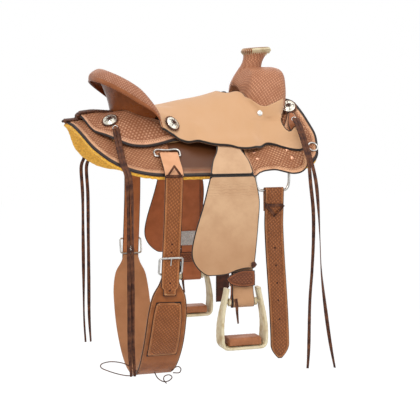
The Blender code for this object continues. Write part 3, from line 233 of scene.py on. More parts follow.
def even_curve(points, spacing, closed=False):
    """The smooth curve again, with its points at even distances."""
    fine = smooth_curve(points, spacing / 8, closed)
    if closed:
        fine.append(fine[0])
    lengths = travelled(fine)
    steps = max(3, round(lengths[-1] / spacing))
    found, n = [], 0
    for k in range(steps + (0 if closed else 1)):
        want = lengths[-1] * k / steps
        while n < len(fine) - 2 and lengths[n + 1] < want:
            n += 1
        run = lengths[n + 1] - lengths[n]
        found.append(fine[n].lerp(fine[n + 1], (want - lengths[n]) / run if run else 0.0))
    return found


def frames(path, side, closed=False):
    """At each point of a path: the point, the direction across in the side's sense, and the face's."""
    found = []
    for i, p in enumerate(path):
        if closed:
            ahead, behind = path[(i + 1) % len(path)], path[i - 1]
        else:
            ahead, behind = path[min(i + 1, len(path) - 1)], path[max(i - 1, 0)]
        tangent = (ahead - behind).normalized()
        across = (side - tangent * side.dot(tangent)).normalized()
        found.append((p, across, tangent.cross(across)))
    return found


def round_section(radius, sides=8):
    return [(radius * c, radius * s) for c, s in oval(sides)]


# The horse-back form and the surfaces that lie on it

def ridge_and_slope(x):
    """Height of the ridge and slope of the flank at x."""
    if x > BREAK_X:
        s = smoothstep((x - BREAK_X) / BREAK_RUN)
        return RIDGE_Z + s * WITHERS_RISE, SLOPE + s * WITHERS_STEEPEN
    s = smoothstep((-BREAK_X - x) / BREAK_RUN)
    return RIDGE_Z - s * LOIN_DROP, SLOPE - s * LOIN_FLATTEN


def form_z(x, w):
    ridge, slope = ridge_and_slope(x)
    return ridge - (math.hypot(RIDGE_ROUND, slope * w) - RIDGE_ROUND)


def form_normal(x, w):
    step = 0.0005
    dx = (form_z(x + step, w) - form_z(x - step, w)) / (2 * step)
    dw = (form_z(x, w + step) - form_z(x, w - step)) / (2 * step)
    return Vector((-dx, -dw, 1.0)).normalized()


def draped(x, w, side, h, rise=0.0):
    """The point at distance h over the form, and a rise above that, on one side."""
    p = Vector((x, w, form_z(x, w))) + form_normal(x, w) * h
    return Vector((p.x, p.y * side, p.z + rise))


def seated(x, w, side, h):
    """A frame on the draped surface at (x, w), its Z along the surface's normal."""
    normal = form_normal(x, w)
    normal.y *= side
    return frame_at(draped(x, w, side, h), (X_AXIS - normal * normal.x).normalized(), normal)


SKIRT_LOW = FLEECE + GAP
SKIRT_HIGH = SKIRT_LOW + SKIRT
PLATE_LOW = SKIRT_HIGH + LAYER_GAP
PLATE_HIGH = PLATE_LOW + PLATE
BAR_TALL = [(-0.265, 0.0), (-0.19, 0.032), (-0.06, 0.032), (0.0, 0.020), (0.29, 0.020), (0.335, 0.0)]
BAR_EDGE = [(-0.06, 0.145), (0.0, 0.128), (0.16, 0.128), (0.21, 0.145)]
BAR_INNER = 0.060
SEAT_MIDDLE = [(-0.20, 0.050), (-0.13, 0.057), (-0.068, 0.064), (-0.007, 0.077), (0.062, 0.090),
               (0.132, 0.110), (0.165, 0.117), (0.20, 0.117), (0.24, 0.105), (0.28, 0.075),
               (0.31, 0.030)]
SEAT_FALL = [(0.06, 0.050), (0.20, 0.056)]
SEAT_POWER = [(0.06, 2.2), (0.20, 2.6)]
SEAT_BLEND = 0.008
SEAT_IN = 0.150
DISH_START = 0.30
DISH_END = 0.86


def bar_rise(x, w):
    """How far the tree's bars lift what lies over them."""
    across = smoothstep((along(BAR_EDGE, x) - w) / 0.065) * smoothstep(w / BAR_INNER)
    return along(BAR_TALL, x) * across


def deck(x):
    """Distance over the form of the skirt, and of the rigging plate where it lies on the skirt."""
    return PLATE_LOW + (PLATE + GAP) * smoothstep((x - 0.10) / 0.03)


def on_deck(side, extra):
    return lambda x, w: draped(x, w, side, deck(x) + extra, bar_rise(x, w))


def neck_room(x, w):
    """How far the seat's jockeys stand off to let the leathers swing under them."""
    over = smoothstep((x + 0.03) / 0.04) * smoothstep((0.20 - x) / 0.035)
    return (NECK_ROOM - deck(x)) * over * smoothstep((w - 0.080) / 0.02)


def flat_seat(x, w):
    """The underside of the seat before the cantle lifts it."""
    ground = (GROUND + GAP) * smoothstep((SEAT_IN - w) / 0.02)
    p = draped(x, w, 1.0, deck(x) + GAP + ground + neck_room(x, w), bar_rise(x, w))
    crown = along(SEAT_MIDDLE, p.x) - along(SEAT_FALL, p.x) * (p.y / 0.1) ** along(SEAT_POWER, p.x)
    p.z = 0.5 * (p.z + crown + math.hypot(p.z - crown, SEAT_BLEND))
    return p


def under(x, w, surface):
    """The plan point whose place on a surface lies over plan (x, w)."""
    bx, bw = x, w
    for _ in range(10):
        p = surface(bx, max(bw, 0.0))
        bx += x - p.x
        bw += w - p.y
    return bx, max(bw, 0.0)


def rim(angle, out=0.0):
    """The top of the cantle's rim, or a point further out on its plane."""
    x = CANTLE_X - (CANTLE_DEPTH + out) * math.cos(angle)
    w = (CANTLE_HALF + out) * math.sin(angle)
    return Vector((x, w, CANTLE_END + (CANTLE_TOP - CANTLE_END) * abs(math.cos(angle)) ** CREST_POWER))


def rim_rise(angle):
    """How far the seat's underside climbs to end under the roll."""
    at = rim(angle, -0.1 * CANTLE_DEPTH)
    flat = flat_seat(*under(at.x, abs(at.y), flat_seat)).z
    return rim(angle).z - ROLL_THICK / 2 - 2 * GAP - SEAT - flat


def seat_under(x, w):
    """The underside of the seat leather."""
    p = flat_seat(x, w)
    ahead = p.x - CANTLE_X
    if ahead < 0:
        reach = math.hypot(ahead / CANTLE_DEPTH, p.y / CANTLE_HALF)
        angle = math.atan2(p.y / CANTLE_HALF, -ahead / CANTLE_DEPTH)
        fade = 1.0
    else:
        reach, angle = p.y / CANTLE_HALF, math.pi / 2
        fade = smoothstep(1 - ahead / 0.055)
    if fade > 0 and reach > DISH_START:
        ramp = ((min(reach, DISH_END) - DISH_START) / (DISH_END - DISH_START)) ** 2
        p.z += rim_rise(angle) * ramp * fade
    return p


def seat_point(x, y, extra):
    side = OFF if y < 0 else NEAR
    p = seat_under(x, abs(y))
    return Vector((p.x, p.y * side, p.z + extra))


SKIRT_REAR = [(-0.333, 0.004), (-0.318, 0.035), (-0.302, 0.073), (-0.287, 0.108), (-0.271, 0.133),
              (-0.244, 0.162), (-0.209, 0.186), (-0.167, 0.201), (-0.106, 0.209), (0.018, 0.210),
              (0.149, 0.208)]
DEE_NOTCH = [[(0.149, 0.208), (0.151, 0.178)], [(0.151, 0.178), (0.264, 0.178)],
             [(0.264, 0.178), (0.266, 0.202)]]
SKIRT_FRONT = [(0.266, 0.202), (0.290, 0.200), (0.324, 0.191), (0.345, 0.178), (0.353, 0.160),
               (0.357, 0.135), (0.348, 0.110), (0.336, 0.083), (0.321, 0.059), (0.300, 0.044)]
SKIRT_INNER = [(0.300, 0.044), (0.24, 0.036), (0.15, 0.024), (0.0, 0.012), (-0.20, 0.004),
               (-0.333, 0.004)]
JOCKEY_EDGE = [(-0.296, 0.004), (-0.284, 0.036), (-0.262, 0.078), (-0.228, 0.110), (-0.189, 0.128),
               (-0.149, 0.133), (-0.106, 0.130), (-0.048, 0.120), (-0.010, 0.112)]
JOCKEY_INNER = [(-0.010, 0.112), (-0.022, 0.100), (-0.075, 0.086), (-0.13, 0.068), (-0.172, 0.040),
                (-0.186, 0.004), (-0.296, 0.004)]
PLATE_EDGE = [(0.133, 0.120), (0.133, 0.214), (0.162, 0.208), (0.182, 0.204), (0.209, 0.203),
              (0.230, 0.208), (0.252, 0.213), (0.275, 0.212), (0.295, 0.205), (0.306, 0.194),
              (0.315, 0.170), (0.317, 0.147), (0.317, 0.115), (0.315, 0.090), (0.300, 0.078),
              (0.280, 0.100), (0.250, 0.124), (0.200, 0.132)]
SEAT_SIDE = [(-0.098, 0.128), (-0.088, 0.138), (-0.070, 0.136), (-0.052, 0.124), (-0.015, 0.130),
             (0.042, 0.142), (0.092, 0.146), (0.118, 0.152), (0.146, 0.153), (0.182, 0.148),
             (0.206, 0.141), (0.231, 0.146), (0.255, 0.157), (0.277, 0.165), (0.300, 0.168),
             (0.312, 0.160), (0.321, 0.144), (0.313, 0.127), (0.298, 0.123), (0.281, 0.129),
             (0.270, 0.120), (0.266, 0.108), (0.271, 0.098), (0.270, 0.084), (0.276, 0.070)]
SEAT_FRONT = [(0.276, 0.070), (0.264, 0.083), (0.235, 0.096), (0.205, 0.092), (0.182, 0.070),
              (0.168, 0.046), (0.150, 0.036), (0.124, 0.032), (0.112, 0.018), (0.110, 0.0)]
CANTLE_SPAN = 86
CANTLE_FOOT_GAP = 0.0015
CANTLE_FOOT_DEPTH = 0.107
CANTLE_FOOT_HALF = 0.100
CANTLE_HOLLOW = 0.006
FORK_OUT = [(0.0, 0.178), (0.040, 0.176), (0.074, 0.164), (0.098, 0.138), (0.112, 0.104),
            (0.120, 0.070), (0.124, 0.036)]
FORK_IN = [(0.0, 0.112), (0.022, 0.108), (0.040, 0.094), (0.052, 0.076), (0.058, 0.062),
           (0.062, 0.052), (0.066, 0.046)]
FORK_REAR = [0.168, 0.168, 0.170, 0.173, 0.178, 0.186, 0.196]
FORK_FRONT = [0.290, 0.292, 0.293, 0.291, 0.287, 0.280, 0.270]
NECK_EDGE = [[(0.050, 0.108), (0.128, 0.108)], [(0.128, 0.108), (0.122, 0.145), (0.134, 0.184),
                                               (0.134, 0.2231)],
             [(0.134, 0.2231), (0.012, 0.2231)], [(0.012, 0.2231), (0.030, 0.184), (0.055, 0.145),
                                                (0.050, 0.108)]]
FENDER_EDGE = [[(0.010, LEG_TOP_Z), (0.137, LEG_TOP_Z)],
               [(0.137, LEG_TOP_Z), (0.150, -0.186), (0.147, -0.254), (0.139, -0.340),
                (0.134, -0.372)],
               [(0.134, -0.372), (0.110, -0.371), (0.084, -0.376), (0.057, -0.385), (0.019, -0.387),
                (-0.003, -0.384), (-0.029, -0.361), (-0.042, -0.328), (-0.035, -0.279),
                (-0.009, -0.194), (0.010, LEG_TOP_Z)]]
FLAP_EDGE = [[(0.053, -0.396), (0.078, -0.382), (0.104, -0.375), (0.136, -0.377)],
             [(0.136, -0.377), (0.137, -0.418)],
             [(0.137, -0.418), (0.104, -0.421), (0.069, -0.413), (0.053, -0.396)]]
BRANCH = [(0.0445, -0.424, 0.029), (0.0485, -0.444, 0.030), (0.0535, -0.468, 0.033),
          (0.0590, -0.497, 0.040), (0.0625, -0.527, 0.048), (0.0625, -0.556, 0.055),
          (0.0605, -0.575, 0.058), (0.0520, -0.5852, 0.058), (0.0300, -0.5865, 0.058),
          (0.0, -0.5865, 0.058)]
DEE_ROUTE = [(0.172, -0.1005), (0.205, -0.1005), (0.240, -0.1005), (0.253, -0.110), (0.2555, -0.130),
             (0.2535, -0.152), (0.246, -0.1635), (0.234, -0.165), (0.206, -0.165), (0.180, -0.165),
             (0.168, -0.1635), (0.160, -0.152), (0.157, -0.130), (0.160, -0.110)]
REAR_DEE = [(-0.027, 0.0137), (0.0, 0.0115), (0.027, 0.0137), (0.035, 0.007), (0.035, -0.004),
            (0.029, -0.0115), (-0.029, -0.0115), (-0.035, -0.004), (-0.035, 0.007)]
REAR_BAR_V = 0.0115
CINCH = [(0.2164, -0.3865, 0.044), (0.2158, -0.410, 0.060), (0.2145, -0.440, 0.092),
         (0.2050, -0.485, 0.108), (0.190, -0.527, 0.112), (0.170, -0.570, 0.114),
         (0.145, -0.609, 0.114), (0.115, -0.645, 0.112), (0.080, -0.674, 0.110),
         (0.042, -0.692, 0.108), (0.0, -0.698, 0.106)]
FRONT_LIE = [(0.104, 0.038), (0.125, 0.0462), (0.150, 0.0470), (0.172, 0.0430), (0.198, 0.0400)]
REAR_LIE = SKIRT_HIGH + 0.0085
RIVETS = ((0.165, 0.150), (0.168, 0.170), (0.262, 0.158), (0.268, 0.178))
RIVET = [(0, 0), (0.0052, 0), (0.0050, 0.0008), (0.0036, 0.0016), (0.0015, 0.0021), (0, 0.0022)]
TIES = {"tie_rear": [(-0.146, -0.0775, -0.6795), (-0.165, -0.080, -0.664), (-0.192, -0.082, -0.648),
                     (-0.226, -0.083, -0.641), (-0.252, -0.083, -0.645), (-0.254, -0.082, -0.656),
                     (-0.232, -0.081, -0.668), (-0.200, -0.080, -0.680), (-0.172, -0.079, -0.686),
                     (-0.148, -0.078, -0.683)],
        "tie_fore": [(-0.050, -0.078, -0.681), (-0.040, -0.080, -0.672), (-0.030, -0.081, -0.670),
                     (-0.023, -0.081, -0.678), (-0.028, -0.080, -0.688), (-0.046, -0.079, -0.687)],
        "tie_low": [(-0.100, -0.078, -0.6815), (-0.092, -0.082, -0.698), (-0.076, -0.084, -0.709),
                    (-0.060, -0.084, -0.708), (-0.050, -0.083, -0.699), (-0.057, -0.081, -0.692),
                    (-0.070, -0.080, -0.694), (-0.074, -0.080, -0.704), (-0.066, -0.081, -0.716)]}
STRING_TWIST = {"string_front_off_rear": 0.35, "string_front_off_fore": 1.15,
                "string_rear_off_fore": 0.9, "string_rear_off_rear": 0.5,
                "string_rear_near_fore": 0.7, "string_rear_near_rear": 1.0}     # in radians
THONG_SECTION = [(-1, -0.0004), (-0.92, -0.0011), (0, -0.0013), (0.92, -0.0011), (1, -0.0004),
                 (1, 0.0004), (0.92, 0.0011), (0, 0.0013), (-0.92, 0.0011), (-1, 0.0004)]


def closed_outline(*runs, spacing=COARSE):
    """An outline of smooth runs that meet at corners."""
    found = []
    for run in runs:
        found += even_curve([Vector((*p, 0)) for p in run], spacing)[:-1]
    return found


def rim_plan(share, first, last, steps):
    """Plan points of the flat seat that lie under the cantle's rim, brought in by a share."""
    found = []
    for k in range(steps + 1):
        angle = math.radians(first + (last - first) * k / steps)
        x = CANTLE_X - CANTLE_DEPTH * share * math.cos(angle)
        found.append(under(x, CANTLE_HALF * share * math.sin(angle), flat_seat))
    return found


def both_sides(half):
    """A closed outline from its off half, which runs from the rear middle to the front middle."""
    off = [Vector((x, -w)) for x, w in half]
    near = [Vector((x, w)) for x, w in half[1:-1]]
    return off + near[::-1]


def cantle_foot(angle, inward):
    x = CANTLE_X - (CANTLE_FOOT_DEPTH - inward) * math.cos(angle)
    w = (CANTLE_FOOT_HALF - inward) * abs(math.sin(angle))
    surface = on_deck(1.0, GAP + JOCKEY + CANTLE_FOOT_GAP)
    foot = surface(*under(x, w, surface))
    foot.y *= math.copysign(1.0, angle)
    return foot


def cantle_point(angle, share, inward):
    """A point on the cantle's back, or inward of it."""
    foot, top = cantle_foot(angle, inward), rim(angle, -inward)
    top.z -= ROLL_THICK / 2 + GAP
    across = Vector((-math.cos(angle), math.sin(angle), 0.0))
    return foot.lerp(top, share) - across * CANTLE_HOLLOW * math.sin(math.pi * share) * math.cos(angle)


def fork_rings(inset, sides=14, per=2, beyond=0.0):
    """Sections of the fork, inset all round, and one at each end that is a distance beyond its foot."""
    count = len(FORK_OUT)
    rings = []
    for k in range(-(count - 1) * per, (count - 1) * per + 1):
        at = abs(k) / per

        def value(row):
            return along(list(enumerate(row)), at)

        out = Vector((0, value([p[0] for p in FORK_OUT]), value([p[1] for p in FORK_OUT])))
        inner = Vector((0, value([p[0] for p in FORK_IN]), value([p[1] for p in FORK_IN])))
        rear, front = value(FORK_REAR), value(FORK_FRONT)
        side = -1.0 if k < 0 else 1.0
        out.y *= side
        inner.y *= side
        thick = (out - inner).length / 2 - inset
        up = (out - inner).normalized()
        middle = (out + inner) / 2
        half = (front - rear) / 2 - inset
        ring = []
        for n in range(sides):
            a = 2 * math.pi * n / sides
            ca, sa = math.cos(a), math.sin(a)
            x = math.copysign(abs(ca) ** 0.75, ca) * half
            t = math.copysign(abs(sa) ** 0.75, sa) * thick
            lean = -FORK_SHEAR * (0.5 - t / (2 * thick)) * (1 if ca < 0 else 0) * abs(ca)
            ring.append(middle + up * t + Vector(((rear + front) / 2 + x + lean, 0, 0)))
        rings.append(ring)
    if beyond:
        drop = Vector((0, 0, -beyond))
        rings = [[p + drop for p in rings[0]], *rings, [p + drop for p in rings[-1]]]
    return rings


def horn_frame(up):
    """A place on the horn's leaning axis, a height above the fork, level with its cap."""
    x = HORN_X + math.tan(HORN_LEAN) * up
    return Matrix.Translation((x, 0, FORK_OUT[0][1] + up)) @ Matrix.Rotation(-CAP_TILT, 4, "Y")


def round_bar(centre, radius, first, last, steps):
    """Points on an arc in a (y, z) plane round a centre, by angles in degrees."""
    found = []
    for k in range(steps + 1):
        a = math.radians(first + (last - first) * k / steps)
        found.append((centre[0] + radius * math.cos(a), centre[1] + radius * math.sin(a)))
    return found


def flank_x(z):
    return -0.084 - 0.013 * smoothstep((-0.12 - z) / 0.4)


def on_seat(x, w, side, extra):
    """A frame on the seat's top at (x, w), its Z along the leather's normal."""
    step = 0.004
    p = seat_point(x, w * side, SEAT)
    ahead = seat_point(x + step, w * side, SEAT) - seat_point(x - step, w * side, SEAT)
    aside = seat_point(x, w * side + step, SEAT) - seat_point(x, w * side - step, SEAT)
    normal = ahead.cross(aside).normalized()
    return frame_at(p + normal * extra, ahead.normalized(), normal)


def on_deck_frame(x, w, side, extra):
    """A frame on what covers the bars at (x, w), its Z along the surface's normal."""
    step = 0.004
    place = on_deck(side, extra)
    ahead = place(x + step, w) - place(x - step, w)
    aside = (place(x, w + step) - place(x, w - step)) * side
    return frame_at(place(x, w), ahead.normalized(), ahead.cross(aside).normalized())


# Colours and materials

def linear(colour):
    """An sRGB hex colour as linear RGBA; a colour that is linear already stays as it is."""
    if not isinstance(colour, str):
        return tuple(colour)
    parts = [int(colour[i:i + 2], 16) / 255 for i in (1, 3, 5)]
    return (*[c / 12.92 if c <= 0.04045 else ((c + 0.055) / 1.055) ** 2.4 for c in parts], 1.0)


def feed(tree, node, **sockets):
    """Sets a node's inputs, called by name or as i and a number; a socket or a Value is linked."""
    for key, value in sockets.items():
        value = getattr(value, "socket", value)
        target = node.inputs[int(key[1:]) if key[1:].isdigit() else key.replace("_", " ")]
        if isinstance(value, bpy.types.NodeSocket):
            tree.links.new(value, target)
        else:
            target.default_value = value


def add(tree, kind, settings=None, **sockets):
    """Adds a node with its settings and inputs."""
    node = tree.nodes.new("ShaderNode" + kind)
    for key, value in (settings or {}).items():
        setattr(node, key, value)
    feed(tree, node, **sockets)
    return node


class Value:
    """A number or colour in a shader; a sum with it adds the node that works it out."""

    def __init__(self, tree, socket):
        self.tree, self.socket = tree, socket

    def do(self, operation, *others, clamp=False):
        inputs = {f"i{n}": value for n, value in enumerate((self, *others))}
        settings = {"operation": operation, "use_clamp": clamp}
        return Value(self.tree, add(self.tree, "Math", settings, **inputs).outputs[0])

    def __add__(self, other):
        return self.do("ADD", other)

    def __sub__(self, other):
        return self.do("SUBTRACT", other)

    def __rsub__(self, other):
        return Value(self.tree, other).do("SUBTRACT", self)

    def __mul__(self, other):
        return self.do("MULTIPLY", other)

    def humps(self):
        """One rounded hump after another, each pi long."""
        return self.do("SINE").do("ABSOLUTE")

    def near(self, other, width):
        """1 where two values are within a width of each other."""
        return self.do("COMPARE", other, width)

    def ramp(self, low, high):
        """0 below low and 1 above high."""
        return Value(self.tree, add(self.tree, "MapRange", {"interpolation_type": "SMOOTHSTEP"}, Value=self,
                                    i1=low, i2=high).outputs[0])

    def blend(self, a, b):
        """One colour into another by this share."""
        a, b = (c if isinstance(c, Value) else linear(c) for c in (a, b))
        settings = {"data_type": "RGBA", "clamp_factor": True}
        return Value(self.tree, add(self.tree, "Mix", settings, i0=self, i6=a, i7=b).outputs[2])


class Skin:
    """A material while it is made, with what the mesh says of each point, in metres."""

    def __init__(self, name, metallic=0.0, own=False):
        self.made = bpy.data.materials.new(name)
        self.made.use_nodes = True
        self.tree = self.made.node_tree
        self.shader = self.tree.nodes["Principled BSDF"]
        feed(self.tree, self.shader, Metallic=metallic)
        if not metallic:
            feed(self.tree, self.shader, IOR=1.5)
        if own:                     # the object's own coordinates, and else the piece's plan
            self.place = add(self.tree, "TexCoord").outputs["Object"]
        else:
            self.place = add(self.tree, "Attribute", {"attribute_name": "place"}).outputs["Vector"]

    def told(self, key):
        """rim: distance from the cut edge; run: distance along it."""
        return Value(self.tree, add(self.tree, "Attribute", {"attribute_name": key}).outputs["Fac"])

    def axes(self, at=None):
        return [Value(self.tree, s) for s in
                add(self.tree, "SeparateXYZ", {}, Vector=at or self.place).outputs]

    def texture(self, kind, output, settings=None, **sockets):
        node = add(self.tree, "Tex" + kind, settings, **{"Vector": self.place, **sockets})
        return Value(self.tree, node.outputs[output])

    def cloud(self, scale, detail, roughness=0.5):
        return self.texture("Noise", "Fac", Scale=scale, Detail=detail, Roughness=roughness)

    def finish(self, shade, bump=None, **sockets):
        """Feeds the shader; bump is a height, its strength and its depth."""
        if bump:
            height, strength, depth = bump
            node = add(self.tree, "Bump", {}, Strength=strength, Distance=depth, Height=height)
            sockets["Normal"] = node.outputs[0]
        feed(self.tree, self.shader, Base_Color=shade, **sockets)
        return self.made


STAMP_TURN = 0.12               # turn of the basket stamp on the piece, in radians


def basket(skin, pitch):
    """Height of a basket stamp, squares of three strands that run each way in turn, and which way."""
    tree = skin.tree
    at = add(tree, "Mapping", {}, Vector=skin.place, Rotation=(0, 0, STAMP_TURN),
             Scale=(1 / pitch, 1 / pitch, 0)).outputs[0]
    x, y, _ = skin.axes(at)
    even = skin.texture("Checker", "Fac", Vector=at, Scale=1.0, Color1=(1, 1, 1, 1), Color2=(0, 0, 0, 1))
    strands = []
    for across, ahead in ((x, y), (y, x)):
        dome = (across * (3 * math.pi)).humps()
        arch = (ahead * math.pi).humps().do("POWER", 0.45)
        strands.append(arch * (dome * 0.35 + 0.65))
    woven = add(tree, "Mix", {"data_type": "FLOAT"}, i0=even, i2=strands[0], i3=strands[1]).outputs[0]
    return Value(tree, woven), even


def dyed(shade, rim, wide, colour):
    """Edge dye, which runs a little onto the face."""
    return (1 - rim.ramp(wide * 0.75, wide * 1.15)).blend(shade, colour)


def tanned(name, colour, deep, border=None, dye=0.0022, stitch=0.0, rough=0.46, pitch=0.0052, plain=None):
    """Vegetable-tanned skirting leather, glazed on its grain side, with its cut edges dyed.

    The eye gets a warm tan with soft mottling from the hide, a low gloss, fine grain, darker
    colour in stamped hollows, and near-black slicked edges. A border is how far in from the edge
    the stamping starts; plain is a run of x where the hide stays smooth and dark.
    """
    skin = Skin(name)
    rim, run = skin.told("rim"), skin.told("run")
    tone = skin.cloud(28.0, 6.0, 0.6).ramp(0.30, 0.72)
    pores = skin.texture("Voronoi", "Distance", {"feature": "DISTANCE_TO_EDGE"}, Scale=620.0)
    shade = (tone * 0.55).blend(colour, deep)
    height = skin.cloud(900.0, 3.0) * 0.10 + pores.ramp(0.0, 0.22) * 0.06
    if border is not None:
        stamp, even = basket(skin, pitch)
        field = rim.ramp(border - 0.0005, border + 0.0005)
        if plain:
            ahead, aside, _ = skin.axes()
            bare = ahead.near(sum(plain) / 2, (plain[1] - plain[0]) / 2).do("GREATER_THAN", 0.02)
            field = field * (1 - bare)
            # a deeper brown on the plain hide, and painted shade that darkens it further towards the seat's
            # edge
            dark = (1 - aside.ramp(0.205, 0.262)).do("ADD", 0.45, clamp=True) * bare
            shade = dark.blend(shade, "#5a3218")
        height = height + stamp * field
        low = (1 - stamp) * field
        shade = low.do("MULTIPLY", 1.5, clamp=True).blend(shade, deep)
        # painted shade: the cells whose strands run one way are darkened, as light falling across them
        # shades them
        shade = (even * field * 0.8).blend(shade, deep)
        shells = (run * (math.pi / 0.007)).humps() * 0.0032 + (border - 0.0052)
        marks = rim.near(border, 0.0009).do("MAXIMUM", rim.near(shells, 0.0008))
        shade = (marks * 0.75).blend(shade, deep)
        height = height - marks * 0.8
    if stitch:
        seam = rim.near(stitch, 0.0006)
        thread = seam * (run * (1 / 0.0042)).do("FRACT").do("LESS_THAN", 0.68)
        shade = thread.blend((seam * 0.5).blend(shade, deep), "#b98e62")
        height = height + thread
    if dye:
        shade = dyed(shade, rim, dye, "#1d100b")
    return skin.finish(shade, (height, 0.9, 0.0011), Roughness=tone * 0.10 + (rough - 0.05),
                       Specular_IOR_Level=0.3)


def roughed(name, colour, deep, dye=0.0026, crease=None, darker_below=None):
    """Roughout leather: the flesh side worn outwards, left unglazed.

    The eye gets a pale, dry, velvety nap with cloudy patches, fine fibres and no gloss. Creases
    lie between two heights, and the nap is rubbed dark below the second height of worn.
    """
    skin = Skin(name)
    nap = skin.cloud(520.0, 5.0, 0.7)
    shade = (skin.cloud(16.0, 7.0, 0.62).ramp(0.34, 0.70) * 0.5).blend(colour, deep)
    shade = (nap.ramp(0.45, 0.8) * 0.28).blend(shade, deep)
    height = nap
    if crease:
        first, last = crease
        at = skin.axes()[1]
        rows = skin.texture("Wave", "Fac", {"bands_direction": "Y"}, Scale=42.0, Distortion=5.0, Detail=2.0,
                            Detail_Scale=1.5)
        band = at.ramp(first, first + 0.02) * (1 - at.ramp(last - 0.02, last))
        folds = (1 - rows.ramp(0.0, 0.35)) * band
        # painted shade in the creases
        shade = (folds * 0.12).blend(shade, "#8a5a38")
        height = height - folds * 2.0
    if darker_below:
        # the nap darkens towards the bottom of the piece
        shade = ((1 - skin.axes()[1].ramp(*darker_below)) * 0.55).blend(shade, "#a8774f")
    if dye:
        shade = dyed(shade, skin.told("rim"), dye, "#170d08")
    return skin.finish(shade, (height, 0.35, 0.0006), Roughness=0.92, Specular_IOR_Level=0.2,
                       Sheen_Weight=0.25, Sheen_Roughness=0.6)


def oiled(name, colour, deep):
    """Latigo leather, tanned with oils and waxes: dark, supple and a little glossy."""
    skin = Skin(name)
    shade = skin.cloud(60.0, 5.0).ramp(0.35, 0.7).blend(colour, deep)
    return skin.finish(shade, (skin.cloud(800.0, 3.0), 0.3, 0.0004), Roughness=0.55,
                       Specular_IOR_Level=0.22)


def woolly(name, colour, deep):
    """Dyed sheepskin: dense curly wool, so the eye gets soft clumps 5 mm across and no gloss."""
    skin = Skin(name, own=True)
    curls = skin.texture("Voronoi", "Distance", {"feature": "SMOOTH_F1"}, Scale=190.0, Smoothness=0.6)
    shade = curls.ramp(0.15, 0.75).blend(colour, deep)
    height = skin.cloud(700.0, 6.0, 0.75) * 0.5 - curls
    return skin.finish(shade, (height, 0.5, 0.002), Roughness=1.0, Specular_IOR_Level=0.1,
                       Sheen_Weight=0.15, Sheen_Roughness=0.7)


def hide(name, colour, deep):
    """Rawhide, limed and dried hard: cream, translucent-looking, waxy gloss, brown in its creases."""
    skin = Skin(name, own=True)
    streak = skin.cloud(260.0, 4.0)
    shade = skin.cloud(45.0, 6.0).ramp(0.42, 0.75).blend(colour, deep)
    shade = (streak.ramp(0.55, 0.8) * 0.35).blend(shade, "#a98c5e")
    return skin.finish(shade, (streak, 0.35, 0.0008), Roughness=0.42)


def metal(name, colour, deep, rough):
    """Polished metal with fine handling scratches; dull grey where polish has not reached."""
    skin = Skin(name, metallic=1.0, own=True)
    wear_at = skin.cloud(140.0, 8.0, 0.7)
    return skin.finish(wear_at.ramp(0.45, 0.8).blend(colour, deep), Roughness=wear_at * 0.12 + rough)


def woody(name, colour, deep):
    """Sanded pine of the tree: pale, with growth rings 4 mm apart."""
    skin = Skin(name, own=True)
    rings = skin.texture("Wave", "Fac", {"bands_direction": "Z"}, Scale=40.0, Distortion=3.0, Detail=3.0)
    return skin.finish(rings.blend(colour, deep), Roughness=0.7)


MATERIAL = {}


